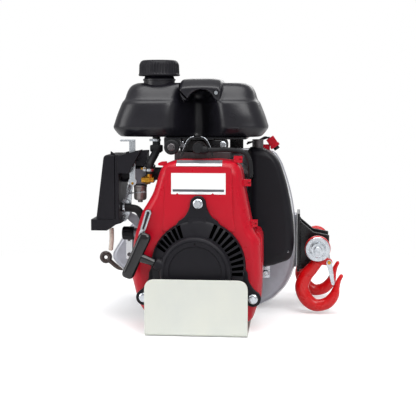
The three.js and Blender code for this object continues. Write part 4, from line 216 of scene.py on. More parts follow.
def shrunk(outline, distance):
    """Draws a closed outline in by a distance at its sides, keeping its form."""
    low = Vector((min(p[0] for p in outline), min(p[1] for p in outline)))
    high = Vector((max(p[0] for p in outline), max(p[1] for p in outline)))
    middle, half = (low + high) / 2, (high - low) / 2
    return [(middle.x + (x - middle.x) * (1 - distance / half.x),
             middle.y + (z - middle.y) * (1 - distance / half.y)) for x, z in outline]


def stadium(start, radius_a, end, radius_b, steps=12):
    """Two round ends joined by tangents."""
    way = Vector(end) - Vector(start)
    angle = math.degrees(math.atan2(way.y, way.x))
    spread = math.degrees(math.acos((radius_a - radius_b) / way.length))
    return (arc(end, radius_b, angle - spread, angle + spread, steps)
            + arc(start, radius_a, angle + spread, angle + 360 - spread, steps))


def rectangle(x0, x1, z0, z1):
    """A closed outline with four corners."""
    return [(x0, z0), (x1, z0), (x1, z1), (x0, z1)]


def loft(rings, closed=True):
    """A skin through rings of equal point counts, closed at both ends or joined to itself."""
    count = len(rings[0])
    points = [p for ring in rings for p in ring]
    faces = []
    last = len(rings) - (1 if closed else 0)
    for level in range(last):
        low, high = level * count, ((level + 1) % len(rings)) * count
        for i in range(count):
            n = (i + 1) % count
            faces.append((low + i, low + n, high + n, high + i))
    if closed:
        faces.append(tuple(range(count))[::-1])
        top = (len(rings) - 1) * count
        faces.append(tuple(range(top, top + count)))
    return points, faces


def layers(levels):
    """A body along the depth through (outline, depth) levels."""
    return loft([[(x, y, z) for x, z in outline] for outline, y in levels])


def slab(outline, y0, y1):
    """A body along the depth from an outline of (x, height)."""
    return layers([(outline, y0), (outline, y1)])


def slab_x(outline, x0, x1):
    """A body along X from an outline of (depth, height)."""
    return loft([[(x, y, z) for y, z in outline] for x in (x0, x1)])


def slab_z(outline, z0, z1):
    """An upright body from an outline of (x, depth)."""
    return loft([[(x, y, z) for x, y in outline] for z in (z0, z1)])


def block(x0, x1, y0, y1, z0, z1):
    """A box between two places on each axis."""
    return slab(rectangle(x0, x1, z0, z1), y0, y1)


def turned(profile, centre, axis="y", steps=64):
    """A turned body from a closed profile of (radius, height) about an axis through the centre."""
    rings = []
    for i in range(steps):
        t = 2 * math.pi * i / steps
        ring = []
        for radius, height in profile:
            u, v = max(radius, 0.001) * math.cos(t), max(radius, 0.001) * math.sin(t)
            ring.append({
                "x": (height, centre[0] + u, centre[1] + v),
                "y": (centre[0] + u, height, centre[1] + v),
                "z": (centre[0] + u, centre[1] + v, height),
            }[axis])
        rings.append(ring)
    return loft(rings, closed=False)


def rod(radius, start, end, centre, axis="y", steps=48, edge=0.0):
    """A round bar with broken edges."""
    if edge:
        profile = [(0, start), (radius - edge, start), (radius, start + edge),
                   (radius, end - edge), (radius - edge, end), (0, end)]
    else:
        profile = [(0, start), (radius, start), (radius, end), (0, end)]
    return turned(profile, centre, axis, steps)


def tube(path, radius, sides=16, closed=False):
    """A round bar along a path; radius is a number or a list, one for each point."""
    path = [Vector(p) for p in path]
    radii = radius if isinstance(radius, (list, tuple)) else [radius] * len(path)
    count = len(path)
    rings = []
    across = None
    for i, here in enumerate(path):
        if closed:
            along = (path[(i + 1) % count] - path[i - 1]).normalized()
        else:
            along = (path[min(i + 1, count - 1)] - path[max(i - 1, 0)]).normalized()
        if across is None:
            across = along.orthogonal().normalized()
        across = (across - along * across.dot(along)).normalized()
        other = along.cross(across)
        rings.append([tuple(here + radii[i] * (
            across * math.cos(2 * math.pi * k / sides) + other * math.sin(2 * math.pi * k / sides)))
            for k in range(sides)])
    return loft(rings, closed=not closed)


def joined(*shapes):
    """Several bodies in one mesh."""
    points, faces = [], []
    for shape_points, shape_faces in shapes:
        start = len(points)
        points.extend(shape_points)
        faces.extend(tuple(i + start for i in face) for face in shape_faces)
    return points, faces


def moved(shape, matrix):
    """A body turned and shifted by a matrix in millimetres."""
    points, faces = shape
    return [tuple(matrix @ Vector(p)) for p in points], faces


def make(name, shape):
    """Makes an object of a body, with its faces pointing out."""
    points, faces = shape
    mesh = bpy.data.meshes.new(name)
    mesh.from_pydata([place(*p) for p in points], [], faces)
    edit = bmesh.new()
    edit.from_mesh(mesh)
    bmesh.ops.remove_doubles(edit, verts=edit.verts, dist=CLOSE)
    bmesh.ops.recalc_face_normals(edit, faces=edit.faces)
    edit.to_mesh(mesh)
    edit.free()
    piece = bpy.data.objects.new(name, mesh)
    bpy.context.scene.collection.objects.link(piece)
    return piece


def modifier(piece, kind, **settings):
    """Adds a modifier with its settings."""
    added = piece.modifiers.new(kind.title(), kind)
    for key, value in settings.items():
        setattr(added, key, value)


def bake(piece):
    """Turns what the modifiers give into the piece's own mesh."""
    graph = bpy.context.evaluated_depsgraph_get()
    mesh = bpy.data.meshes.new_from_object(piece.evaluated_get(graph))
    old = piece.data
    piece.modifiers.clear()
    piece.data = mesh
    bpy.data.meshes.remove(old)


def carve(piece, *shapes, operation="DIFFERENCE"):
    """Cuts bodies from a piece, or joins them to it."""
    for shape in shapes:
        tool = make("tool", shape)
        modifier(piece, "BOOLEAN", operation=operation, object=tool, solver="EXACT")
        bake(piece)
        mesh = tool.data
        bpy.data.objects.remove(tool)
        bpy.data.meshes.remove(mesh)


def fuse(piece, voxel, smoothing):
    """Melts the bodies of a piece into one soft skin."""
    modifier(piece, "REMESH", mode="VOXEL", voxel_size=voxel)
    modifier(piece, "SMOOTH", factor=0.5, iterations=smoothing)
    bake(piece)


def shade(piece, angle=40):
    """Smooths the shading, and keeps edges above an angle sharp."""
    for polygon in piece.data.polygons:
        polygon.use_smooth = True
    piece.data.set_sharp_from_angle(angle=math.radians(angle))
    return piece


def bevel(piece, width, segments, angle):
    """Breaks the edges that are sharper than an angle."""
    modifier(piece, "BEVEL", width=width, segments=segments, limit_method="ANGLE",
             angle_limit=math.radians(angle), use_clamp_overlap=True, harden_normals=False,
             miter_outer="MITER_ARC")


def soften(piece, width, segments=2, angle=35):
    """Breaks the piece's edges and evens its shading."""
    bevel(piece, width, segments, angle)
    bake(piece)
    shade(piece)
    modifier(piece, "WEIGHTED_NORMAL", keep_sharp=True)
    return piece


def mount(piece, body, slot, *replaced):
    """Gives a piece its finish, body and material slot, and hides the frame nodes that it stands
    for.
    """
    piece.data.materials.clear()
    piece.data.materials.append(FINISHES[slot]())
    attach(piece, body)
    if replaced:
        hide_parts(*replaced)


def fit(name, shape, slot, *replaced, body="frame", angle=40):
    """Makes and mounts a piece whose edges stay crisp."""
    mount(shade(make(name, shape), angle), body, slot, *replaced)


def fit_soft(name, shape, slot, *replaced, body="frame", width=0.0005):
    """Makes and mounts a piece with broken edges."""
    mount(soften(make(name, shape), width), body, slot, *replaced)


def dress(node, slot, width=0.0, segments=2, angle=35):
    """Gives a frame node its finish, with its edges broken by modifiers."""
    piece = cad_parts[node]
    mesh = piece.data
    if "custom_normal" in mesh.attributes:
        mesh.attributes.remove(mesh.attributes["custom_normal"])
    for polygon in mesh.polygons:
        polygon.use_smooth = True
    mesh.materials.clear()
    mesh.materials.append(FINISHES[slot]())
    modifier(piece, "WELD", merge_threshold=2 * CLOSE)
    modifier(piece, "DECIMATE", decimate_type="DISSOLVE", angle_limit=math.radians(1))
    if width:
        bevel(piece, width, segments, angle)
    modifier(piece, "WEIGHTED_NORMAL", keep_sharp=True)


# ---------------------------------------------------------------- finishes

def add_node(tree, kind, inputs=None, **settings):
    """Adds a node with its settings; an input is a value or the socket that feeds it."""
    node = tree.nodes.new(kind)
    for key, value in settings.items():
        setattr(node, key, value)
    for key, value in (inputs or {}).items():
        if isinstance(value, bpy.types.NodeSocket):
            tree.links.new(value, node.inputs[key])
        else:
            node.inputs[key].default_value = value
    return node


# Diagonal bands of a wave texture repeat at this distance at a scale of 1
BAND_DISTANCE = 2 * math.pi / 10


def finish(name, colour, other, patch, roughness, swing, grain, depth, metallic=0.0, coat=0.0,
           coat_roughness=0.1, stretch=(1, 1, 1), detail=4.0, transmission=0.0, bands=0.0,
           specular=0.5):
    """A material of two colours mixed in patches, with a grain on it.

    A colour is linear or sRGB hex, and the other one is hex or a share of it. The patches, the
    grain, its depth and the bands are given in millimetres.
    """
    if name in bpy.data.materials:
        return bpy.data.materials[name]
    colour = linear(colour) if isinstance(colour, str) else tuple(colour)
    other = linear(other) if isinstance(other, str) else shaded(colour, other)
    material = bpy.data.materials.new(name)
    material.use_nodes = True
    tree = material.node_tree
    shader = tree.nodes["Principled BSDF"]
    shader.inputs["Metallic"].default_value = metallic
    shader.inputs["Specular IOR Level"].default_value = specular
    shader.inputs["Coat Weight"].default_value = coat
    shader.inputs["Coat Roughness"].default_value = coat_roughness
    shader.inputs["Transmission Weight"].default_value = transmission
    where = add_node(tree, "ShaderNodeTexCoord")
    spread = add_node(tree, "ShaderNodeMapping", {"Vector": where.outputs["Object"],
                                                  "Scale": stretch})
    patches = add_node(tree, "ShaderNodeTexNoise", {
        "Vector": spread.outputs["Vector"], "Scale": 1 / (patch * MM), "Detail": detail,
        "Roughness": 0.6})
    mix = add_node(tree, "ShaderNodeMix", {
        "Factor": patches.outputs["Fac"], "A": (*colour, 1), "B": (*other, 1)}, data_type="RGBA")
    tree.links.new(mix.outputs["Result"], shader.inputs["Base Color"])
    gloss = add_node(tree, "ShaderNodeMapRange", {
        "Value": patches.outputs["Fac"], "From Min": 0.3, "From Max": 0.7,
        "To Min": max(roughness - swing, 0.02), "To Max": roughness + swing})
    tree.links.new(gloss.outputs["Result"], shader.inputs["Roughness"])
    grains = add_node(tree, "ShaderNodeTexNoise", {
        "Vector": spread.outputs["Vector"], "Scale": 1 / (grain * MM), "Detail": 2.0})
    height = grains.outputs["Fac"]
    if bands:
        waves = add_node(tree, "ShaderNodeTexWave", {
            "Vector": where.outputs["Object"], "Scale": BAND_DISTANCE / (bands * MM),
            "Distortion": 1.0}, bands_direction="DIAGONAL")
        height = add_node(tree, "ShaderNodeMath", {0: height, 1: waves.outputs["Fac"]},
                          operation="ADD").outputs["Value"]
    bump = add_node(tree, "ShaderNodeBump", {
        "Height": height, "Strength": 1.0, "Distance": depth * MM})
    tree.links.new(bump.outputs["Normal"], shader.inputs["Normal"])
    return material


def shaded(colour, share):
    """A lighter or darker colour: the channels times a share."""
    return tuple(min(c * share, 1.0) for c in colour)


def colours():
    """The colours that the panel shows."""
    return bpy.context.scene.winch_colours


def sizes():
    """The sizes that the panel shows."""
    return bpy.context.scene.winch_sizes


# Each finish: its material's name, colour, other colour, patch, roughness and how far that
# swings, grain and depth, and then what else its shader needs
FINISHES = {
    # Blow-moulded polyethylene: a satin black skin with soft highlights and a faint grain
    "tank_skin": lambda: finish(
        "Polyethylene_blow_moulded", colours().tank, 1.35, 30, 0.32, 0.05, sizes().grain / MM,
        0.03, specular=0.40),
    # Glass-filled nylon, injection moulded in a textured mould: dull charcoal, fine leather grain
    "black_plastic": lambda: finish(
        "Nylon_textured_moulding", colours().moulding, 1.6, 18, 0.46, 0.06, sizes().grain / MM,
        0.06, specular=0.2),
    # Polypropylene from a polished mould: bright red with a soft gloss
    "red_plastic": lambda: finish(
        "Polypropylene_moulded_red", colours().shroud, 0.86, 40, 0.30, 0.05, 1.6, 0.012,
        specular=0.25),
    # Powder coat on forged steel: full red, glossy, with a slight orange peel
    "red_paint": lambda: finish(
        "Powder_coat_red_forging", colours().red_paint, 0.82, 12, 0.28, 0.06, 2.4, 0.10, coat=0.25,
        coat_roughness=0.12, specular=0.3),
    # Powder coat on welded steel: semi-gloss black; on the engine's rocker cover it is painted
    # shade
    "black_paint": lambda: finish(
        "Powder_coat_black_steel", colours().black_paint, 1.8, 14, 0.30, 0.08, 1.4, 0.05,
        coat=0.15, coat_roughness=0.2, specular=0.3),
    # Black enamel on pressed sheet: mirror-like highlights along its edges; behind the throttle
    # lever's slot it is painted shade
    "gloss_black": lambda: finish(
        "Enamel_black_sheet", colours().black_paint, 1.4, 20, 0.16, 0.04, 3, 0.02, coat=0.4,
        coat_roughness=0.06, specular=0.3),
    # Nylon from a polished mould: glossy black, with clear highlights on the pull handle
    "handle_moulding": lambda: finish(
        "Nylon_polished_moulding", colours().black_paint, 1.4, 20, 0.16, 0.04, 3, 0.02, coat=0.4,
        coat_roughness=0.06, specular=0.3),
    # Sand-cast aluminium, bead blasted: even grey with small pits that scatter the light
    "cast_aluminium": lambda: finish(
        "Aluminium_cast_blasted", colours().casting, 0.80, 9, 0.48, 0.07, sizes().blast / MM, 0.09,
        metallic=0.75, detail=6),
    # Die-cast engine alloy with thin silver paint: a little darker and smoother
    "engine_alloy": lambda: finish(
        "Aluminium_die_cast_engine", "#9a9aa0", "#6f7078", 16, 0.42, 0.10, 1.8, 0.06,
        metallic=0.8),
    # Machined aluminium: bright, with fine turning marks; on the casing's edges it is also painted
    # highlight
    "machined_edge": lambda: finish(
        "Aluminium_machined", "#f4f5f7", "#e2e4e8", 6, 0.30, 0.06, 0.8, 0.015, metallic=0.35,
        stretch=(1, 6, 1)),
    # Zinc-plated sheet: pale, faintly green and yellow where the passivation has pooled
    "zinc_plate": lambda: finish(
        "Steel_sheet_zinc_plated", colours().plate, "#dcddd2", 42, 0.38, 0.07, 5, 0.02,
        metallic=0.55, stretch=(1, 1, 0.6), detail=7),
    # Zinc-plated turned and pressed fittings: bright silver, lightly scuffed
    "zinc_fitting": lambda: finish(
        "Steel_zinc_bright", "#d8dce0", "#aeb4bc", 5, 0.26, 0.10, 1.2, 0.02, metallic=1.0),
    # Cold-drawn steel: plain grey with a soft sheen
    "steel": lambda: finish(
        "Steel_drawn", "#b4b6bb", "#8d9097", 7, 0.30, 0.08, 1.0, 0.015, metallic=1.0,
        stretch=(1, 0.3, 1)),
    # Blackened steel strip: dark with brown edges; on the cylinder head it is painted shade
    "dark_steel": lambda: finish(
        "Steel_blackened", "#6d6a6c", "#4a4547", 6, 0.40, 0.10, 1.2, 0.03, metallic=0.9),
    # Bent steel rod, enamelled black and worn through to brown rust by the rope
    "brown_steel": lambda: finish(
        "Steel_enamel_worn", "#171214", "#402619", 7, 0.22, 0.08, 2.0, 0.05, coat=0.3,
        coat_roughness=0.1),
    # Die-cast zinc body, dull and stained with fuel
    "dark_alloy": lambda: finish(
        "Zinc_die_cast_dull", "#4d4a50", "#6d6c74", 6, 0.42, 0.10, 1.2, 0.04, metallic=0.35,
        specular=0.4),
    # Pressed steel bowl with a dull yellow chromate
    "bowl_steel": lambda: finish(
        "Steel_pressed_dull", "#7f7a78", "#9b9795", 9, 0.34, 0.08, 1.0, 0.02, metallic=0.45,
        specular=0.5),
    # Matt black moulding deep inside the starter
    # Painted shade: a matt black with no highlight, for the dark inside behind the starter's slots
    "painted_slot_shade": lambda: finish(
        "Painted_shade_behind_slots", "#030303", "#060606", 10, 0.9, 0.0, 1.0, 0.0, specular=0.0),
    # Hard chrome on a turned steel drum: mirror with faint turning rings
    "chrome": lambda: finish(
        "Steel_hard_chromed", "#d4d7dc", "#bfc3ca", 10, 0.14, 0.05, 0.9, 0.008, metallic=1.0,
        stretch=(1, 5, 1)),
    # Turned brass: warm yellow, bright
    "brass": lambda: finish(
        "Brass_turned", colours().brass, 0.75, 4, 0.24, 0.08, 1.0, 0.02, metallic=0.9),
    # Moulded rubber: dull black that takes no highlight
    "black_rubber": lambda: finish(
        "Rubber_moulded", "#0d0d10", "#17171a", 10, 0.58, 0.08, 1.0, 0.04, specular=0.25),
    # Braided polyester: dull black cord, its 2.2 mm plait drawn as bands four times as coarse, so
    # that they show
    "cord": lambda: finish(
        "Polyester_braided", "#1d1d22", "#3a3a42", 3, 0.75, 0.08, 1.0, 0.05, bands=8.685),
    # Glazed ceramic: smooth and off-white
    "ceramic": lambda: finish(
        "Ceramic_glazed", "#efeee6", "#dedccf", 12, 0.20, 0.04, 3, 0.01, coat=0.5),
    # Aged clear vinyl: milky pink-brown with some light passing through
    "clear_tube": lambda: finish(
        "Vinyl_clear_aged", colours().drain, 0.8, 8, 0.28, 0.06, 3, 0.02, transmission=0.12),
    # Oiled polyurethane foam: open cells, drawn three times their size so that they show
    "foam": lambda: finish(
        "Foam_polyurethane", "#3d4350", "#23262e", 2.5, 0.9, 0.05, 1.8, 0.5),
    # White printed film without print: smooth and bright
    "blank_film": lambda: finish(
        "Film_white_blank", "#eef0f1", "#e2e5e7", 30, 0.32, 0.04, 8, 0.01),
    # Grey printed film without print: a plain band on the white one
    "dark_film": lambda: finish(
        "Film_grey_blank", "#55565c", "#46474d", 12, 0.35, 0.04, 6, 0.01),
}


# ---------------------------------------------------------------- shared small parts

def hex_nut(across, start, end, centre, turn=0.0):
    """A hexagon along the depth whose outer corners are turned off at both ends."""
    steps = 48
    cut = across * 0.07
    corner = across / math.sqrt(3)
    rings = []
    for y, limit in ((start, across / 2), (start + cut, corner), (end - cut, corner),
                     (end, across / 2)):
        ring = []
        for i in range(steps):
            t = 2 * math.pi * i / steps
            local = (math.degrees(t) - turn) % 60 - 30
            flat = across / 2 / math.cos(math.radians(local))
            radius = min(flat, limit)
            ring.append((centre[0] + radius * math.cos(t), y, centre[1] + radius * math.sin(t)))
        rings.append(ring)
    return loft(rings)


def flange_bolt(across, head, flange, back, centre, turn=10.0):
    """A hexagon head on its round flange, in front of the face at depth back."""
    low = back - flange * 0.18
    return joined(
        turned([(0, low), (flange * 0.8, low), (flange, back - flange * 0.05), (flange, back),
                (0, back)], centre),
        hex_nut(across, back - head, low + 0.2, centre, turn))


def washer(radius, hole, start, end, centre, edge=0.6, steps=96):
    """A flat washer with broken outer edges."""
    return turned([(hole, start), (radius - edge, start), (radius, start + edge),
                   (radius, end - edge), (radius - edge, end), (hole, end)], centre, steps=steps)


def cap_screw(radius, height, back, centre, direction=1):
    """A socket screw; direction 1 has its head behind the face, -1 in front of it."""
    top = back + direction * height
    edge = radius * 0.15 * direction
    socket = radius * 0.5
    return turned([(0, back), (radius, back), (radius, top - edge), (radius - abs(edge), top),
                   (socket, top), (socket, top - direction * height * 0.5),
                   (0, top - direction * height * 0.5)], centre, steps=32)


def slotted_screw(radius, height, back, centre):
    """A pan-head screw in front of the face at depth back, and the cut that makes its slot."""
    half = radius * 0.14
    front = back - height
    shape = rod(radius, front, back, centre, steps=32, edge=radius * 0.25)
    cut = block(centre[0] - radius, centre[0] + radius, front - 1, front + height * 0.4,
                centre[1] - half, centre[1] + half)
    return shape, cut


def thread(radius, start, end, centre, axis="y", pitch=1.25):
    """A threaded end drawn as close rings."""
    count = max(int((end - start) / pitch), 1)
    step = (end - start) / count
    profile = [(0, start)]
    for i in range(count):
        profile += [(radius * 0.88, start + step * i), (radius, start + step * (i + 0.5))]
    profile += [(radius * 0.88, end), (0, end)]
    return turned(profile, centre, axis, steps=32)


def spring(path_start, path_end, radius, wire, turns):
    """A coil spring between two points."""
    per_turn = 14
    start, end = Vector(path_start), Vector(path_end)
    along = (end - start).normalized()
    across = along.orthogonal().normalized()
    other = along.cross(across)
    points = []
    steps = turns * per_turn
    for i in range(steps + 1):
        t = 2 * math.pi * i / per_turn
        points.append(start + (end - start) * (i / steps)
                      + radius * (across * math.cos(t) + other * math.sin(t)))
    return tube(points, wire, sides=8)


# ---------------------------------------------------------------- outlines shared by pieces

# Outlines as shares of a width and a height, anticlockwise from the bottom
CASING_SHARES = (
    (-0.216, 0.000), (0.240, 0.000), (0.279, 0.024), (0.333, 0.053), (0.408, 0.148),
    (0.442, 0.235), (0.4516, 0.405), (0.446, 0.552), (0.4296, 0.689), (0.4035, 0.811),
    (0.372, 0.918), (0.340, 0.978), (0.305, 0.992), (0.265, 1.000), (0.185, 1.000),
    (-0.087, 1.000), (-0.157, 0.941), (-0.216, 0.805), (-0.293, 0.636), (-0.411, 0.521),
    (-0.460, 0.428), (-0.505, 0.339), (-0.509, 0.305), (-0.488, 0.271), (-0.455, 0.237),
    (-0.418, 0.191), (-0.387, 0.153), (-0.314, 0.051),
)
SHROUD_SHARES = (
    (-0.367, 0.000), (0.389, 0.000), (0.449, 0.154), (0.468, 0.250), (0.463, 0.420),
    (0.4545, 0.520), (0.404, 0.570), (0.3855, 0.623), (0.365, 0.705), (0.333, 0.834),
    (0.311, 0.950), (0.262, 0.990), (0.156, 1.000), (-0.164, 1.000), (-0.279, 0.970),
    (-0.322, 0.859), (-0.346, 0.795), (-0.398, 0.723), (-0.427, 0.687), (-0.494, 0.520),
    (-0.514, 0.339), (-0.511, 0.279), (-0.479, 0.171), (-0.456, 0.109),
)
GUARD_SHARES = (
    (0.000, 0.000), (0.132, 0.000), (0.502, 0.006), (0.764, 0.043), (0.880, 0.058),
    (0.945, 0.086), (1.000, 0.170), (0.992, 0.350), (0.923, 0.529), (0.829, 0.698),
    (0.695, 0.856), (0.589, 0.930), (0.408, 0.984), (0.147, 1.000), (0.000, 1.000),
)


def scaled(shares, x0, width, z0, height):
    """An outline from its shares; x0 and z0 are where the shares are nought."""
    return [(x0 + u * width, z0 + v * height) for u, v in shares]


def casing_outline():
    """The gearbox seen from the front."""
    return rounded(scaled(CASING_SHARES, 0, 287, 0, 236), 16, 4)


def rope_way():
    """The way that the starter rope is pulled."""
    lean = math.radians(ROPE_LEAN)
    return Vector((-math.sin(lean), 0, math.cos(lean)))


def quarter(width, depth, steps):
    """Insets and depths of a quarter round, from the face to the side."""
    return [(width * (1 - math.sin(math.radians(90 * i / steps))),
             depth * (1 - math.cos(math.radians(90 * i / steps)))) for i in range(steps + 1)]


def open_shell(outline, curve, front, back, wall):
    """A cover with a rounded front and an open back; the curve is made by quarter."""
    outer = [(shrunk(outline, inset), front + depth) for inset, depth in curve]
    inner = [(shrunk(outline, inset + wall), front + wall + depth)
             for inset, depth in reversed(curve)]
    return layers(outer + [(outline, back), (shrunk(outline, wall), back)] + inner)


# ---------------------------------------------------------------- operators, one for each piece

class WINCH_OT_fuel_tank(bpy.types.Operator):
    """Moulds the fuel tank with its valley, saddle and threaded neck"""
    bl_idname = "winch.fuel_tank"
    bl_label = "Fuel tank"

    # Height, width, depth and how deep the front valley is, each as a share
    LEVELS = (
        (0.000, 0.900, 0.860, 0.28), (0.030, 0.935, 0.905, 0.33), (0.160, 1.000, 1.000, 0.38),
        (0.230, 0.990, 1.000, 0.38), (0.400, 0.952, 0.990, 0.38), (0.560, 0.908, 0.960, 0.37),
        (0.640, 0.885, 0.930, 0.36), (0.680, 0.862, 0.870, 0.35), (0.720, 0.850, 0.830, 0.34),
        (0.850, 0.822, 0.740, 0.26), (0.950, 0.775, 0.640, 0.10), (1.000, 0.700, 0.520, 0.00),
    )

    WIDTH, DEPTH, HEIGHT = 217.5, 130, 75
    CENTRE, BASE = (-20.7, -25), 256
    SADDLE_SCREW = (17.6, 316.8)

    def ring(self, level, power=5.0, steps=100):
        """One level of the tank: a rounded rectangle with a valley in its front."""
        height, wide, deep, valley = level
        points = []
        for sign in (-1, 1):
            for i in range(steps):
                u = sign * math.cos(math.pi * i / steps)
                v = sign * (1 - abs(u) ** power) ** (1 / power)
                dip = valley * math.exp(-(abs(u - 0.11) / 0.232) ** 2.5) if v < 0 else 0
                points.append((self.CENTRE[0] + self.WIDTH / 2 * wide * u,
                               self.CENTRE[1] + self.DEPTH / 2 * deep * v + dip * self.DEPTH,
                               self.BASE + self.HEIGHT * height))
        return points

    def saddle_outline(self, top):
        """The saddle seen from the front: a bridge with an arched underside."""
        return rounded([
            (-28, 306), (-33.5, top - 7), (-32, top - 1.4), (-18, top), (10, top + 0.3),
            (23.5, top - 1.4), (25.5, top - 7), (21, 306), (16, 307), (12.5, 314), (5, 320.2),
            (-4, 321.8), (-13, 318.5), (-19.5, 312.5), (-23, 306)], 3, 3)

    def execute(self, context):
        body = loft([self.ring(level) for level in spline(self.LEVELS, 3, closed=False)])
        saddle = layers([(self.saddle_outline(top), y) for y, top in (
            (14, 328), (9, 334.5), (0, 337), (-54, 337), (-62, 335.6), (-69, 332.4),
            (-75, 328.6), (-79, 325.6), (-81, 323.4))])
        tank = make("tank_shell", joined(body, saddle))
        fuse(tank, sizes().tank_voxel, 10)
        # A groove down the left of the saddle, and the recess of its screw
        crease = [(-36.4, 342), (-33.6, 342), (-32.8, 321), (-21.6, 309.3), (-23.6, 308.0),
                  (-34.9, 319.5)]
        carve(tank, slab(crease, -100, -50), rod(3.6, -90, -76, self.SADDLE_SCREW, steps=32))
        carve(tank, rod(17, 285, 345, NECK_AXIS, "z"))
        shade(tank, 60)
        fit("saddle_screw", cap_screw(3.0, 2.2, -76.4, self.SADDLE_SCREW, -1),
            "zinc_fitting", angle=30)
        # The neck's profile of (radius, height), with three turns of thread
        neck = [(17, 322), (22, 322), (22, 334), (23, 334.4), (23, 336.4), (21.4, 337)]
        for i in range(3):
            base = 342.0 + 4.2 * i
            neck += [(19.6, base), (21, base + 0.8), (21, base + 1.6), (19.6, base + 2.4)]
        neck += [(19.6, 355.9), (19, 356.5), (17.6, 356.5), (17, 355.9)]
        collar = make("tank_neck", turned(neck, NECK_AXIS, "z", 96))
        shade(collar, 50)
        mount(tank, "frame", "tank_skin", "fuel_tank")
        mount(collar, "frame", "tank_skin")
        fit("tank_spigot", rod(2.7, 246, 259, (-66, -72), "z", 24, 0.4), "tank_skin")
        return {"FINISHED"}


class WINCH_OT_fuel_cap(bpy.types.Operator):
    """Moulds the ribbed fuel cap and its gasket"""
    bl_idname = "winch.fuel_cap"
    bl_label = "Fuel cap"

    def execute(self, context):
        per_rib = 8
        steps = sizes().cap_ribs * per_rib
        base, top, roof = 340.6, 362.6, 359.1
        rings = []
        # Radius, height, and how much of a rib there is
        outer = [(27.6, base, 0.0), (29.0, base + 0.5, 0.0), (29.2, base + 2.0, 0.0),
                 (28.2, base + 3.4, 0.4), (27.6, base + 4.6, 1.0), (27.2, top - 6.5, 1.0),
                 (26.8, top - 4.4, 0.5), (25.8, top - 1.9, 0.0), (24.0, top - 0.5, 0.0),
                 (22.0, top, 0.0), (19.8, top, 0.0), (19.0, top - 0.8, 0.0),
                 (0.6, top - 0.8, 0.0)]
        inner = [(0.6, roof, 0.0), (23.6, roof, 0.0), (23.6, base, 0.0)]
        for radius, z, rib in outer + inner:
            ring = []
            for i in range(steps):
                wave = max(0.0, math.cos(2 * math.pi * i / per_rib)) ** 0.7
                r = radius + 0.8 * rib * wave
                t = 2 * math.pi * i / steps
                ring.append((NECK_AXIS[0] + r * math.cos(t), NECK_AXIS[1] + r * math.sin(t), z))
            rings.append(ring)
        # The outer skin ends at the middle of the top, the inner one starts there from below
        fit("fuel_cap_shell", loft(rings, closed=False),
            "black_plastic", "fuel_cap", body="cap", angle=35)
        dress("fuel_cap_gasket", "black_rubber", 0.0003)
        return {"FINISHED"}


class WINCH_OT_fan_shroud(bpy.types.Operator):
    """Moulds the fan shroud with its raised panel, wing, clips and blank labels"""
    bl_idname = "winch.fan_shroud"
    bl_label = "Fan shroud"

    FRONT, BACK, WALL = -146, -98, 2.5
    OPENING = 61.4
    LEAD_CLIPS = ((52.5, 228.4), (63.9, 197.4), (73.2, 143.2))

    def execute(self, context):
        outline = rounded(scaled(SHROUD_SHARES, 0, 180, 8, 220), 12, 5)
        shroud = make("shroud_shell", open_shell(
            outline, quarter(15, 18, 8), self.FRONT, self.BACK, self.WALL))
        panel = self.panel()
        carve(shroud, layers([(panel, -144.5), (grown(panel, -0.2), -147.0),
                              (grown(panel, -1.0), -147.6)]), operation="UNION")
        carve(shroud, rod(self.OPENING, -150, -140, (0, CRANK_HEIGHT), steps=96))
        soften(shroud, 0.0006, 2, 40)
        mount(shroud, "frame", "red_plastic", "fan_shroud")
        self.fittings()
        self.labels()
        return {"FINISHED"}

    def panel(self):
        """The raised field whose lower edge lies behind the recoil cover."""
        points = [(-43.6, 219.5), (-46.5, 150), (-49.8, 133.5), (49.6, 133.5), (46.4, 150),
                  (43.6, 219.5)]
        return rounded(points, 5, 3)

    def fittings(self):
        """The side wing, the clips of the plug lead, the tab and the throttle's boss."""
        wing = rounded([(74, 133), (80, 131.5), (83.6, 123), (84.2, 90), (82.5, 40), (79, 40),
                        (80.5, 90), (78, 118), (73, 127)], 5, 4)
        fit_soft("shroud_wing", layers([
            (grown(wing, -1.2), -128), (wing, -126.5), (wing, -71.5), (grown(wing, -1.0), -70)]),
            "red_plastic")
        for i, (x, z) in enumerate(self.LEAD_CLIPS):
            clip = make("lead_clip_%d" % i,
                        block(x - 7, x + 4.5, -132.5, -123.5, z - 4.6, z + 4.6))
            carve(clip, block(x + 0.6, x + 6, -134, -130.4, z - 1.1, z + 1.1))
            mount(soften(clip, 0.0005), "frame", "red_plastic")
        fit_soft("shroud_tab", slab(rounded([
            (-55.5, 220), (-44, 219), (-44, 225.5), (-51, 225), (-55.5, 223)], 1.2, 3), -133, -126),
            "red_plastic", width=0.0004)
        fit("throttle_boss", turned(
            [(2.8, -143.5), (4.4, -143.5), (5.4, -142), (7.5, -128), (2.8, -128)],
            THROTTLE_PIVOT, steps=40), "red_plastic")

    def labels(self):
        """The blank label and the blank strip on the slope above it."""
        half = sizes().label_width / MM / 2
        tall = sizes().label_height / MM
        base = 183
        # The lower edge has two small notches; the face is left without print
        plate = [(-half, base), (-half + 6, base), (-half + 8, base + 1.8), (-half + 10, base),
                 (half - 19, base), (half - 17, base + 1.8), (half - 15, base), (half, base),
                 (half, base + tall), (-half, base + tall)]
        fit("blank_label", slab(plate, -147.95, -147.5), "blank_film")
        fit("blank_label_band", slab(
            rectangle(-half + 2, half - 2, base + 3.4, base + 6.6), -148.05, -147.8), "dark_film")
        low, high = Vector((-146.6, 220.4)), Vector((-137.4, 227.6))
        for name, slot, start, end in (("low", "blank_film", 0.0, 0.42),
                                       ("high", "dark_film", 0.42, 1.0)):
            a, b = low.lerp(high, start), low.lerp(high, end)
            slope = [tuple(a), tuple(b), (b.x + 0.3, b.y - 0.4), (a.x + 0.3, a.y - 0.4)]
            fit("blank_strip_" + name, slab_x(slope, -29.5, 31), slot)


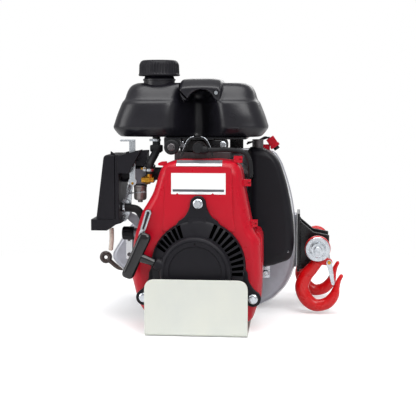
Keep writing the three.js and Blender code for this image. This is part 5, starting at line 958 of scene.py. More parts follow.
class WINCH_OT_recoil_starter(bpy.types.Operator):
    """Moulds the recoil cover with its slots, ears and bolts, and turns the pulley"""
    bl_idname = "winch.recoil_starter"
    bl_label = "Recoil starter"

    SLOT_ANGLES = [-3 + 7.75 * i for i in range(10)] + [111.5 + 7.0 * i for i in range(6)]
    DISC = (-2.6, 81.6)
    EARS = {"top": 90, "left": 210, "right": 330}
    EAR_REACH = 84

    def ear(self, degrees):
        """An ear that flares out of the dome towards its bolt."""
        shape = [(50, -32), (56, -29), (61, -25.5), (65, -19.5), (69, -16), (75, -12.8), (80, -11)]
        shape += arc((self.EAR_REACH, 0), 10.5, -75, 75, 14)
        shape += [(80, 11), (75, 12.8), (69, 16), (65, 19.5), (61, 25.5), (56, 29), (50, 32)]
        turn = math.radians(degrees)
        return [(u * math.cos(turn) - v * math.sin(turn),
                 CRANK_HEIGHT + u * math.sin(turn) + v * math.cos(turn)) for u, v in shape]

    def bolt_centre(self, degrees):
        """The middle of the bolt in the ear at this angle."""
        turn = math.radians(degrees)
        return (self.EAR_REACH * math.cos(turn), CRANK_HEIGHT + self.EAR_REACH * math.sin(turn))

    def execute(self, context):
        centre = (0, CRANK_HEIGHT)
        back, front = -146.3, -170.3
        # Profiles of (radius, depth): the cone about the crank's axis, the disc about its own
        cone = [(0, -163.2), (36, -163.2), (47, -160.9), (58.2, -157.0), (61.0, -155.4),
                (62.6, -152.8), (63.0, -149.5), (63.0, back), (0, back)]
        cover = make("recoil_dome", turned(cone, centre, steps=128))
        disc = [(0, front + 1.7), (34.2, front + 1.7), (34.8, front + 0.5), (35.5, front + 0.1),
                (40.2, front), (40.7, front + 0.6), (41.5, front + 0.6), (42.0, front),
                (44.6, front + 0.7), (46.2, front + 2.2), (46.9, front + 5), (47.4, -154),
                (0, -154)]
        carve(cover, turned(disc, self.DISC, steps=128), operation="UNION")
        for degrees in self.EARS.values():
            ear = self.ear(degrees)
            carve(cover, layers([(grown(ear, -1.0), -153.9), (ear, -152.9), (ear, back)]),
                  operation="UNION")
        neck = [(-148, 152), (-154.2, 152), (-161.6, 124), (-158, 122), (-148, 122)]
        carve(cover, slab_x(neck, -13, 10.5), operation="UNION")
        hollow = [(0, -160.9), (36, -160.9), (46.4, -158.6), (57.2, -154.8), (59.6, -153.2),
                  (60.6, -149), (60.6, back + 1), (0, back + 1)]
        carve(cover, turned(hollow, centre, steps=96))
        carve(cover, rod(44.6, front + 3.6, -150, self.DISC, steps=96))
        carve(cover, joined(*[self.slot_bar(degrees) for degrees in self.SLOT_ANGLES]))
        carve(cover, rod(1.3, -172, -168, (self.DISC[0], self.DISC[1] + 38), steps=20))
        # A black ring behind the slots: painted shade that keeps them dark instead of showing the
        # parts inside
        fit("recoil_shade_screen", turned(
            [(41, -154.2), (47, -153.6), (60.2, -151.0), (60.2, -149.6), (41, -153)], centre,
            steps=96), "painted_slot_shade")
        for degrees in self.EARS.values():
            carve(cover, rod(3.3, -156, -145, self.bolt_centre(degrees), steps=24))
        soften(cover, 0.0003, 2, 45)
        mount(cover, "frame", "black_plastic", "recoil_cover")
        for name, degrees in self.EARS.items():
            middle = self.bolt_centre(degrees)
            fit("recoil_bolt_" + name, joined(
                flange_bolt(8, 5.4, 6.4, -153.7, middle, degrees / 3),
                rod(3, -153.9, -137.3, middle, steps=24)),
                "zinc_fitting", "recoil_screw_" + name, angle=30)
        self.outlet()
        dress("recoil_pulley", "black_plastic", 0.0004)
        return {"FINISHED"}

    def slot_bar(self, degrees):
        """A slot that widens outwards, from the disc to the shoulder of the cover."""
        turn = math.radians(degrees)
        out = Vector((math.cos(turn), math.sin(turn)))
        side = Vector((-out.y, out.x))
        start = Vector(self.DISC)
        offset = start - Vector((0, CRANK_HEIGHT))
        lean = offset.dot(out)
        inner, narrow, shoulder, wide = 47.8, 2.0, 61.4, 2.9
        reach = -lean + math.sqrt(lean * lean - offset.length_squared + shoulder ** 2)
        bar = [start + out * inner - side * narrow, start + out * reach - side * wide,
               start + out * reach + side * wide, start + out * inner + side * narrow]
        return slab(rounded([tuple(p) for p in bar], 1.2, 3), -168.5, -148)

    def outlet(self):
        """The collar round the rope where it leaves the cover."""
        along, start = rope_way(), Vector(ROPE_OUTLET)
        points = [start - along * 14, start - along * 3, start - along * 1.2, start]
        collar = make("rope_outlet", tube(points, [8.4, 8.0, 7.6, 6.0], 32))
        carve(collar, tube([start - along * 16, start + along * 2], 2.7, 24))
        mount(soften(collar, 0.0004, 2, 40), "frame", "black_plastic")


class WINCH_OT_pull_handle(bpy.types.Operator):
    """Moulds the pull handle and lays the starter rope"""
    bl_idname = "winch.pull_handle"
    bl_label = "Pull handle"

    # Offsets along the grip, and how much of its full thickness it has there
    STATIONS = (
        (-33, 0.30), (-32.3, 0.62), (-30.6, 0.84), (-28, 0.96), (-24, 1.0), (-12, 0.97),
        (0, 0.95), (12, 0.97), (24, 1.0), (28, 0.96), (30.6, 0.84), (32.3, 0.62), (33, 0.30),
    )
    HALF_WIDTH, HALF_DEPTH, SQUARENESS = 8.5, 7.5, 0.62

    def grip(self):
        """The bar of the T, from squarish rings."""
        centre = Vector((-80.5, ROPE_OUTLET[1], 102.6))
        lean = math.radians(65.5)
        along, across = Vector((math.cos(lean), 0, math.sin(lean))), rope_way()
        depth = Vector((0, 1, 0))
        sides = 32
        rings = []
        for offset, share in self.STATIONS:
            ring = []
            for k in range(sides):
                t = 2 * math.pi * k / sides
                u, v = (math.copysign(abs(part) ** self.SQUARENESS, part)
                        for part in (math.cos(t), math.sin(t)))
                ring.append(tuple(centre + along * offset + across * (u * self.HALF_WIDTH * share)
                                  + depth * (v * self.HALF_DEPTH * share)))
            rings.append(ring)
        return loft(rings)

    def execute(self, context):
        across = rope_way()
        stem_start = Vector(ROPE_OUTLET) + across * 0.4
        stem_end = stem_start + across * 19
        stem = tube([stem_start, stem_start + across * 1.2, stem_start + across * 8, stem_end],
                    [4.4, 5.2, 5.4, 6.4], 32)
        grip = make("grip", self.grip())
        carve(grip, stem, operation="UNION")
        carve(grip, tube([stem_start - across * 2, stem_end - across * 2], 2.3, 20))
        soften(grip, 0.0005, 2, 45)
        mount(grip, "handle", "handle_moulding", "pull_handle")
        self.rope()
        return {"FINISHED"}

    def rope(self):
        """The starter rope, which stretches between the cover and the handle."""
        lo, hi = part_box("starter_rope")
        # Its round ends lie this far inside the box of the frame's node
        end_x, end_z = 0.0007, 0.0019
        steps = 40
        points = []
        for i in range(steps + 1):
            t = i / steps
            points.append(((hi.x - end_x + (lo.x - hi.x + 2 * end_x) * t) / MM, -162.0,
                           (lo.z + end_z + (hi.z - lo.z - 2 * end_z) * t) / MM))
        rope = make("starter_cord", tube(points, 1.95, 12))
        shade(rope, 60)
        rope.data.materials.append(FINISHES["cord"]())
        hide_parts("starter_rope")
        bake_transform(rope)


class WINCH_OT_skid_plate(bpy.types.Operator):
    """Bends the zinc-plated skid plate"""
    bl_idname = "winch.skid_plate"
    bl_label = "Skid plate"

    def execute(self, context):
        thick, front, back, bend = 3.0, -185.0, -27.0, 6.0
        centre = (front + bend, bend)
        outer = [(back, 0)] + arc(centre, bend, 270, 180, 8) + [(front, 75)]
        inner = [(front + thick, 75)] + arc(centre, bend - thick, 180, 270, 8) + [(back, thick)]
        plate = make("skid_sheet", slab_x(outer + inner, -67.5, 67.5))
        # Rounds the upper corners of the front wall
        window = rounded([(-67.4, 75), (67.4, 75), (67.4, -30), (-67.4, -30)], 14, 10)
        carve(plate, slab(window, -195, 0), operation="INTERSECT")
        soften(plate, 0.0006, 3, 50)
        mount(plate, "frame", "zinc_plate", "skid_plate")
        fit("skid_washers", joined(*[
            rod(8, thick, thick + 1.2, (x, y), "z", 40) for x in (-43, 43) for y in (-72, -46)]),
            "zinc_fitting", angle=30)
        return {"FINISHED"}


class WINCH_OT_guard_cover(bpy.types.Operator):
    """Moulds the black guard over the muffler"""
    bl_idname = "winch.guard_cover"
    bl_label = "Guard cover"

    def execute(self, context):
        outline = rounded(scaled(GUARD_SHARES, 60, 66, 67.8, 172.2), 10, 5)
        front, back, wall = -38, -0.3, 2.5
        guard = make("guard_shell", open_shell(outline, quarter(13, 13, 9), front, back, wall))
        # Leaves room for the muffler's outlet, and for the pipe that comes to it
        carve(guard, rod(11, 210, 243, (73, -15), "z"))
        header = spline([(38, -55, 214), (52, -55, 214), (63.5, -22, 193), (81, -15, 184)], 8,
                        closed=False)
        carve(guard, tube(header, 10, 32))
        soften(guard, 0.0005, 2, 50)
        mount(guard, "frame", "black_plastic", "guard_cover")
        heads, cuts = zip(*[slotted_screw(3.4, 3.2, y, (x, z))
                            for x, z, y in ((93.5, 221, -31), (115.5, 92, -33))])
        screws = make("guard_screws", joined(*heads))
        carve(screws, joined(*cuts))
        mount(shade(screws, 30), "frame", "zinc_fitting")
        return {"FINISHED"}


class WINCH_OT_gearbox(bpy.types.Operator):
    """Casts the two halves of the gearbox with their rim, bosses and screws"""
    bl_idname = "winch.gearbox"
    bl_label = "Gearbox casing"

    # How far the flange stands out of the walls, and the depths of the joint and of the back
    LIP, JOINT, BACK = 0.8, 36.0, 70
    # The thickening of the right wall that carries the anchor bracket
    ANCHOR_PAD = rounded(rectangle(116.6, 130.2, 60, 138), 2, 3)

    def execute(self, context):
        outline = casing_outline()
        self.housing(outline)
        self.cover(outline)
        fit("casing_gasket", slab(shrunk(outline, 0.9), 35.9, 36.4), "dark_steel")
        self.rim(outline)
        self.screws(outline)
        self.clamp()
        return {"FINISHED"}

    def housing(self, outline):
        """The front half, open to the clutch, with a machined pad on its left."""
        levels = [(shrunk(outline, inset + self.LIP), depth) for inset, depth in quarter(9, 11, 7)]
        levels += [(shrunk(outline, self.LIP), 30.6), (outline, 31.4), (outline, self.JOINT)]
        housing = make("housing_casting", layers(levels))
        carve(housing, rod(42.4, -2, 29, (0, CRANK_HEIGHT), steps=96))
        carve(housing, slab(self.ANCHOR_PAD, 24, self.JOINT), operation="UNION")
        pad = rounded(rectangle(-122.5, -111.5, 72, 110), 3, 4)
        carve(housing, layers([(grown(pad, -0.8), -5), (pad, -4), (pad, 12)]), operation="UNION")
        soften(housing, 0.0006, 2, 45)
        mount(housing, "frame", "cast_aluminium", "gearbox_housing")
        fit("side_pad_face", slab(shrunk(pad, 0.9), -5.3, -4.7), "machined_edge")
        fit("side_pad_screws", joined(
            cap_screw(2.8, 2.4, -5.2, (-117, 80), -1), cap_screw(2.2, 2.0, -5.2, (-117, 102), -1)),
            "dark_steel", angle=30)

    def cover(self, outline):
        """The rear half with the drum's bearing boss, two blind bosses and ribs."""
        start = self.JOINT + 0.3
        levels = [(outline, start), (outline, 41.4), (shrunk(outline, self.LIP), 42.2)]
        levels += [(shrunk(outline, inset + self.LIP), self.BACK - depth)
                   for inset, depth in reversed(quarter(9, 10, 7))]
        cover = make("cover_casting", layers(levels))
        carve(cover, slab(self.ANCHOR_PAD, start, 57), operation="UNION")
        boss = turned([(0, 60), (34, 60), (32.6, 70.4), (32, 76.4), (31.4, 77), (22.4, 77),
                       (21.6, 76.2), (21.6, 74.6), (0, 74.6)], DRUM_AXIS, steps=96)
        carve(cover, boss, operation="UNION")
        carve(cover, rod(13.2, 60, 80, DRUM_AXIS, steps=64))
        second_boss = rod(11, 62, 75, (-25.4, 141.2), edge=1)
        first_boss = rod(13, 62, 72, (23, 122.7), edge=1)
        carve(cover, second_boss, first_boss, operation="UNION")
        for degrees, reach in ((20, 56), (65, 56), (110, 46), (155, 46), (250, 46), (300, 46)):
            rib = self.rib(degrees, reach)
            carve(cover, layers([(rib, 66), (rib, 71.4), (grown(rib, -0.5), 72.4)]),
                  operation="UNION")
        soften(cover, 0.0006, 2, 45)
        mount(cover, "frame", "cast_aluminium", "gearbox_cover")

    def rib(self, degrees, reach):
        """A tapered rib that runs out from the drum's boss."""
        turn = math.radians(degrees)
        out = Vector((math.cos(turn), math.sin(turn)))
        side = Vector((-out.y, out.x))
        start, end = Vector(DRUM_AXIS) + out * 30, Vector(DRUM_AXIS) + out * reach
        return [tuple(p) for p in (start + side * 2.2, start - side * 2.2, end - side * 1.4,
                                   end + side * 1.4)]

    def rim(self, outline):
        """Bright bands round the joint and round the front edge: machined aluminium, and painted
        highlight along these edges.
        """
        outside, inside = shrunk(outline, -0.05), shrunk(outline, 1.2)
        rings = [[(x, y, z) for x, z in line] for line, y in (
            (outside, 33.2), (outside, 35.7), (inside, 35.7), (inside, 33.2))]
        fit("casing_rim", loft(rings, closed=False), "machined_edge")
        front = [[(x, y, z) for x, z in shrunk(outline, inset)] for inset, y in (
            (2.7, 3.5), (1.1, 7.1), (1.9, 7.6), (3.4, 4.2))]
        fit("casing_front_edge", loft(front, closed=False), "machined_edge")

    def screws(self, outline):
        """Socket screws round the joint, on round bosses of the rear half."""
        inner = shrunk(outline, 11)
        lengths = [0.0]
        for i, point in enumerate(inner):
            lengths.append(lengths[-1] + (Vector(point) - Vector(inner[i - 1])).length)
        count, first_share = sizes().casing_screws, 0.35
        heads, bosses = [], []
        for s in range(count):
            target = lengths[-1] * (s + first_share) / count
            index = next(i for i, value in enumerate(lengths) if value >= target) - 1
            centre = inner[index]
            bosses.append(rod(6.4, 60, 70.9, centre, steps=32, edge=0.5))
            heads.append(cap_screw(3.8, 3.6, 70.9, centre))
        fit("cover_bosses", joined(*bosses), "cast_aluminium")
        fit("cover_screws", joined(*heads), "zinc_fitting", angle=30)

    def clamp(self):
        """The bright clamp on the lower front of the casing."""
        plate = rounded(rectangle(79.5, 91, 47, 68), 3, 4)
        fit("casing_clamp", joined(
            layers([(grown(plate, -0.6), -3.6), (plate, -3.0), (plate, 1.0)]),
            flange_bolt(7, 5.2, 4.6, -3.4, (85, 55), 15),
            turned([(2.2, -9), (3.4, -9), (3.4, -2), (2.2, -2)], (84, 66), steps=24)),
            "zinc_fitting", angle=30)


class WINCH_OT_air_cleaner(bpy.types.Operator):
    """Moulds the air cleaner, its lid, element and hoses"""
    bl_idname = "winch.air_cleaner"
    bl_label = "Air cleaner"

    def execute(self, context):
        outline = rounded(rounded([
            (-145.5, 141.5), (-114.0, 141.5), (-114.0, 232.5), (-130.9, 232.5),
            (-134.0, 229.9)], 2.2, 4), 0.6, 1)
        curve = quarter(4, 4, 5)
        levels = [(shrunk(outline, inset / 2), -110 + depth) for inset, depth in curve]
        levels += [(shrunk(outline, inset / 2), -34 - depth) for inset, depth in reversed(curve)]
        lid = make("cleaner_lid_shell", layers(levels))
        hollow = [(-141.4, 147.5), (-117, 147.5), (-117, 229.8), (-130, 229.8), (-132, 228)]
        # The lid ends where the base begins: at its right and at its tray
        carve(lid, slab(hollow, -107, -37), block(-118.9, -100, -120, -20, 120, 250),
              block(-160, -100, -120, -20, 120, 144.7))
        fins = slab([(-124.6, 230), (-123.9, 237.4), (-118.6, 233.6), (-118.9, 230)], -108, -104)
        carve(lid, fins, operation="UNION")
        soften(lid, 0.0005, 2, 45)
        mount(lid, "cleaner_lid", "black_plastic", "air_cleaner_cover")
        dress("air_cleaner_base", "black_plastic", 0.0012, 3, 40)
        dress("air_filter_element", "foam", 0.001)
        path = spline([
            (-112.7, -90, 158), (-100.1, -90, 158), (-89, -90, 154.2), (-78.8, -90, 136),
            (-69.4, -90, 110.7), (-62, -90, 103.5), (-56.3, -90, 103)], 8, closed=False)
        fit("breather_pipe", tube(path, 5.4, 24), "black_rubber", "breather_hose", angle=60)
        clips = []
        for index in (2, len(path) - 5):
            here, ahead = Vector(path[index]), Vector(path[index + 1])
            way = (ahead - here).normalized()
            up = way.orthogonal().normalized()
            clips.append(tube([here, here + way * 2.6], 6.0, 32))
            clips.append(tube([here + way * 1.3 + up * 5, here + way * 1.3 + up * 9], 1.0, 8))
        fit("breather_clips", joined(*clips), "zinc_fitting")
        drain = spline([(-129, -80, 128.4), (-129, -80, 112), (-130.6, -80, 97.4)], 8,
                       closed=False)
        pipe = make("drain_pipe", tube(drain, 3.2, 24))
        carve(pipe, tube([(-130.2, -80, 108), (-130.9, -80, 94)], 1.9, 16))
        mount(shade(pipe, 50), "frame", "clear_tube", "drain_tube")
        fit("drain_plug", tube([(-130.3, -80, 101), (-130.7, -80, 96.6)], [2.2, 1.7], 16),
            "clear_tube")
        return {"FINISHED"}


class WINCH_OT_carburettor(bpy.types.Operator):
    """Casts the carburettor with its bowl, brass fuel cock, screws and linkage"""
    bl_idname = "winch.carburettor"
    bl_label = "Carburettor"

    def execute(self, context):
        dress("carburettor", "dark_alloy", 0.0012, 3)
        fit("bowl_pressing", joined(
            turned([(0, 168.7), (6.4, 168.7), (8.2, 169.8), (8.9, 172.4), (8.9, 186.4),
                    (9.4, 187.0), (9.4, 189.4), (0, 189.4)], BOWL_AXIS, "z", 64),
            moved(hex_nut(6, 0, 3.2, (0, 0)), Matrix.Translation((*BOWL_AXIS, 165.6))
                  @ Matrix.Rotation(math.radians(90), 4, "X"))),
            "bowl_steel", "float_bowl", angle=35)
        dress("fuel_cock", "brass", 0.0004)
        dress("intake_manifold", "black_plastic", 0.0008)
        self.details()
        dress("choke_lever", "zinc_fitting", 0.0004)
        dress("governor_arm", "zinc_fitting", 0.0003)
        head, cut = slotted_screw(1.8, 1.8, -94.4, (-96.5, 192.5))
        pivot = make("choke_pivot", head)
        carve(pivot, cut)
        mount(shade(pivot, 30), "choke", "brass")
        return {"FINISHED"}

    def details(self):
        """The top cover, linkage, idle screw, gaskets, studs and springs."""
        top = [
            rod(5.2, 218, 226, (-87.5, -76), "z", 32, 0.6),
            rod(2.4, 224, 233, (-87.5, -76), "z", 24, 0.4),
            block(-98, -77, -88, -64, 216.5, 219.0),
            slab(rounded([(-106, 217), (-80.5, 217), (-76.2, 226), (-75.6, 238.2),
                          (-84, 237.6), (-106, 236)], 1.6, 3), -92, -74),
            turned([(0, -95), (4.6, -95), (5.4, -94), (5.4, -90), (0, -90)], (-99, 226), steps=32),
            turned([(0, -94.5), (3.2, -94.5), (3.8, -93.6), (3.8, -90), (0, -90)], (-88, 229),
                   steps=32),
        ]
        fit_soft("carburettor_top", joined(*top), "black_plastic")
        links = [
            tube(spline([(-104, -86, 184), (-98, -87, 205), (-94, -87, 221), (-86, -86, 224),
                         (-74, -86, 222)], 6, closed=False), 0.9, 10),
            tube([(-103, -88, 178), (-84, -97, 181), (-78, -97, 181)], 0.8, 10),
        ]
        fit("linkage_rods", joined(*links), "steel", angle=60)
        fit("idle_spring", spring((-81, -96, 213), (-70, -96, 213), 2.4, 0.55, 6),
            "zinc_fitting", angle=60)
        fit("idle_screw", joined(
            rod(1.4, -84, -66, (-96, 213), "x", 20),
            rod(3.2, -70, -66.5, (-96, 213), "x", 24, 0.5)), "brass", angle=30)
        fit_soft("carburettor_gaskets", joined(
            block(-76.4, -75.2, -92, -60, 191, 219), block(-99.8, -98.6, -92, -60, 191, 219)),
            "dark_steel", width=0.0003)
        bolts = []
        for z in (196, 214):
            bolts.append(moved(hex_nut(7, 0, 4, (0, 0)), Matrix.Translation((-74, -62, z))
                               @ Matrix.Rotation(math.radians(-90), 4, "Z")))
            bolts.append(rod(2.2, -104, -69, (-62, z), "x", 20))
        fit("carburettor_studs", joined(*bolts), "zinc_fitting", angle=30)
        strap = make("linkage_plate", slab(rounded([
            (-117, 140), (-108, 138), (-102, 150), (-103, 168), (-112, 170), (-117, 158)], 2.5, 4),
            -84.5, -83.2))
        carve(strap, rod(2.2, -90, -80, (-109, 163), steps=24),
              rod(1.8, -90, -80, (-110, 146), steps=24))
        mount(soften(strap, 0.0002), "frame", "zinc_fitting")
        fit("governor_spring", spring((-112, -86, 160), (-97, -88, 199), 1.9, 0.45, 14),
            "steel", angle=60)


class WINCH_OT_throttle_lever(bpy.types.Operator):
    """Presses the slotted throttle lever"""
    bl_idname = "winch.throttle_lever"
    bl_label = "Throttle lever"

    def execute(self, context):
        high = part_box("throttle_lever")[1]
        pivot = THROTTLE_PIVOT
        top = ((high.x / MM) - 6.0, (high.z / MM) - 7.5)
        middle = tuple(Vector(pivot).lerp(Vector(top), 0.42))
        lever = make("lever_strip", slab(stadium(pivot, 3.4, top, 4.0), -150.9, -149.1))
        carve(lever, slab(stadium(middle, 1.3, top, 1.9), -153, -147))
        soften(lever, 0.0004, 2, 45)
        mount(lever, "throttle", "zinc_fitting", "throttle_lever")
        # A black strip behind the lever: painted shade that keeps its slot dark
        fit("lever_slot_shade", slab(stadium(pivot, 3.0, top, 4.4), -149.0, -148.5),
            "gloss_black", body="throttle")
        fit("lever_pin", joined(
            rod(2.4, -149.3, -133.3, pivot, steps=24),
            hex_nut(6.5, -153.4, -150.8, pivot, 12),
            thread(1.6, -155.0, -153.2, pivot)), "zinc_fitting", body="throttle", angle=30)
        return {"FINISHED"}


class WINCH_OT_plug_and_lead(bpy.types.Operator):
    """Moulds the spark plug cap and lays its lead and the fuel hose"""
    bl_idname = "winch.plug_and_lead"
    bl_label = "Plug, lead and fuel hose"

    def execute(self, context):
        dress("spark_plug", "ceramic", 0.0004)
        profile = [(4.6, -114.4), (6.4, -114.4), (7.0, -115.2), (6.2, -117.0), (7.0, -118.8),
                   (6.2, -120.6), (7.0, -122.4), (6.6, -124.0), (7.2, -126), (7.2, -137.4),
                   (6.2, -139.4), (0, -139.8), (0, -137.6), (4.6, -137.4)]
        boot = make("plug_boot", joined(turned(profile, (-2, 243), steps=48)))
        carve(boot, tube([(-2, -133.8, 241), (5, -133.8, 241), (11, -133.8, 241)],
                         [5.4, 5.2, 4.4], 32), operation="UNION")
        soften(boot, 0.0004, 2, 40)
        mount(boot, "frame", "black_rubber", "spark_plug_cap")
        fit("plug_wire", tube(spline([
            (11.3, -133.8, 241), (23.5, -133.6, 240.9), (36, -128, 241.2), (58, -128, 238),
            (65.4, -128, 229), (67.6, -128, 218), (67.4, -128, 205)], 8, closed=False), 3.2, 20),
            "black_rubber", "plug_lead", angle=60)
        self.fuel_line()
        return {"FINISHED"}

    def fuel_line(self):
        """The fuel hose with its inline filter and clips, from the tank to the fuel cock."""
        tank_end, cock_end = (-66, -72), (-71.5, -98.5)
        path = spline([
            (*tank_end, 255.7), (*tank_end, 245), (-66, -74.8, 236), (*cock_end, 220.3),
            (*cock_end, 213.3), (*cock_end, 206.3)], 10, closed=False)
        fit("fuel_line", joined(
            tube(path, 5.5, 24),
            turned([(0, 234), (6, 234), (8.6, 236), (9, 237), (9, 243.4), (8.4, 244.6), (6, 245),
                    (0, 245)], tank_end, "z", 48)), "black_rubber", "fuel_hose", angle=45)
        clips, wide = [], 3.2
        for (x, y), low in ((tank_end, 250), (cock_end, 210)):
            top = low + wide
            clips.append(turned([(5.4, low), (6.2, low), (6.2, top), (5.4, top)], (x, y), "z", 40))
            clips.append(block(x - 9.5, x - 5.5, y - 2.2, y - 1.2, low, top))
            clips.append(block(x - 9.5, x - 5.5, y + 1.2, y + 2.2, low, top))
        fit("hose_clips", joined(*clips), "zinc_fitting")


class WINCH_OT_tank_bracket(bpy.types.Operator):
    """Presses the tank bracket with its arch over the spark plug cap"""
    bl_idname = "winch.tank_bracket"
    bl_label = "Tank bracket"

    def execute(self, context):
        plate = make("bracket_sheet", joined(
            slab_z(rounded([(-54, -88), (60, -88), (60, 28), (-54, 28)], 8, 5), 253.1, 255.7),
            block(-48.9, -26.9, -121.9, -80, 253.2, 255.6),
            block(-25, 17, -113.5, -80, 253.3, 255.5),
            block(30, 50, 25.1, 27.9, 236.3, 255.4), block(-44, -24, 25.1, 27.9, 236.3, 255.4),
            block(-48.7, -27.1, -122, -119.4, 245, 255.3)))
        soften(plate, 0.0005)
        mount(plate, "frame", "black_paint", "tank_bracket")
        # The strip that bends over the spark plug cap; bright tubes along its edges are painted
        # highlights
        outer = spline([(-27.0, 231.7), (-21.6, 244.5), (-15.0, 255.6), (-4, 258.3),
                        (7, 255.6), (13.6, 244.5), (18.0, 231.7)], 8, closed=False)
        inner = spline([(-24.6, 231.7), (-19.2, 243.8), (-13.2, 253.4), (-4, 255.8),
                        (5.2, 253.4), (11.2, 243.8), (15.6, 231.7)], 8, closed=False)
        arch = make("plug_arch", slab(outer + inner[::-1], -122, -113))
        mount(soften(arch, 0.0005, 2, 45), "frame", "gloss_black")
        # Painted highlights: thin bright tubes along the front edges of the arch
        fit("plug_arch_highlights", joined(*[
            tube([(x, -122.2, z) for x, z in part], 0.55, 8)
            for part in (outer[5:22], outer[28:44])]), "zinc_fitting", angle=50)
        middle = (-38, 244)
        fit("tank_mount", turned(
            [(3, -130), (8.6, -130), (10, -128.8), (10, -126.6), (8.2, -125.6), (8.2, -124.2),
             (10, -123.2), (10, -120), (3, -120)], middle), "black_rubber")
        fit("mount_bolt", flange_bolt(7, 4.0, 5.0, -129.8, middle, 8), "dark_steel", angle=30)
        return {"FINISHED"}


class WINCH_OT_dipstick(bpy.types.Operator):
    """Moulds the dipstick cap"""
    bl_idname = "winch.dipstick"
    bl_label = "Oil dipstick"

    def execute(self, context):
        axis, steps, per_rib = (-60, 119), 120, 5
        rings = []
        # Place along X, radius, and how much of a rib there is
        for x, radius, rib in ((-117.0, 5.0, 0.0), (-116.8, 7.6, 0.0), (-116.0, 8.6, 0.4),
                               (-114.6, 8.9, 1.0), (-106.0, 8.9, 1.0), (-105.0, 9.5, 0.0),
                               (-101.0, 9.5, 0.0), (-100.4, 8.6, 0.0)):
            ring = []
            for i in range(steps):
                t = 2 * math.pi * i / steps
                r = radius + 0.6 * rib * ((i // per_rib) % 2)
                ring.append((x, axis[0] + r * math.cos(t), axis[1] + r * math.sin(t)))
            rings.append(ring)
        fit("dipstick_cap", joined(
            loft(rings), rod(2.9, -100.6, -70.4, axis, "x", 24)),
            "black_plastic", "oil_dipstick", body="dipstick", angle=35)
        return {"FINISHED"}


class WINCH_OT_stop_switch(bpy.types.Operator):
    """Moulds the red stop switch and its button"""
    bl_idname = "winch.stop_switch"
    bl_label = "Stop switch"

    def execute(self, context):
        dress("stop_switch", "red_plastic", 0.0012, 3)
        dress("stop_switch_button", "black_plastic", 0.0008, 3)
        paths = (
            [(88, 20, 251.5), (82, 18, 253), (74, 12, 249), (66, 4, 247), (58, -4, 246)],
            [(89, 22, 252.5), (82, 22, 251), (73, 17, 247), (63, 10, 246), (57, 0, 244)],
        )
        fit("switch_wires", joined(*[
            tube(spline(path, 8, closed=False), 1.3, 12) for path in paths]),
            "black_rubber", angle=60)
        return {"FINISHED"}


class WINCH_OT_anchor(bpy.types.Operator):
    """Welds the anchor bracket and fits its bolt, washers and nuts"""
    bl_idname = "winch.anchor"
    bl_label = "Anchor bracket and bolt"

    def execute(self, context):
        dress("anchor_bracket", "black_paint", 0.0008, 2)
        # Rippled weld beads along both sides of the bracket's two plates
        beads, ripples = [], 60
        thickness = [1.5 + 0.35 * math.sin(i * 1.9) for i in range(ripples)]
        for y in (9.8, 14.2, 55.8, 60.2):
            points = [(134.9, y, 59 + 72 * i / (ripples - 1)) for i in range(ripples)]
            beads.append(tube(points, thickness, 10))
        fit("bracket_welds", joined(*beads), "black_paint", angle=60)
        # The bolt, its plain and spring washers, nuts and threads: the front ones, then the rear
        fit("anchor_fasteners", joined(
            rod(6, -49.5, 119.5, ANCHOR, steps=40, edge=0.6),
            washer(17.5, 6.2, -35.4, -32.4, ANCHOR), washer(17.5, 6.2, 102.4, 105.4, ANCHOR),
            turned([(6.2, -37.2), (11.4, -37.2), (11.8, -36.6), (11.8, -35.3), (6.2, -35.3)],
                   ANCHOR),
            turned([(6.2, 107.2), (11.4, 107.2), (11.8, 106.6), (11.8, 105.3), (6.2, 105.3)],
                   ANCHOR),
            hex_nut(19, -44.4, -37.0, ANCHOR, 20), hex_nut(19, 107.0, 114.4, ANCHOR, 50),
            thread(6, -48.4, -44.2, ANCHOR), thread(6, 114.2, 118.4, ANCHOR)),
            "zinc_fitting", "anchor_bolt", angle=30)
        return {"FINISHED"}


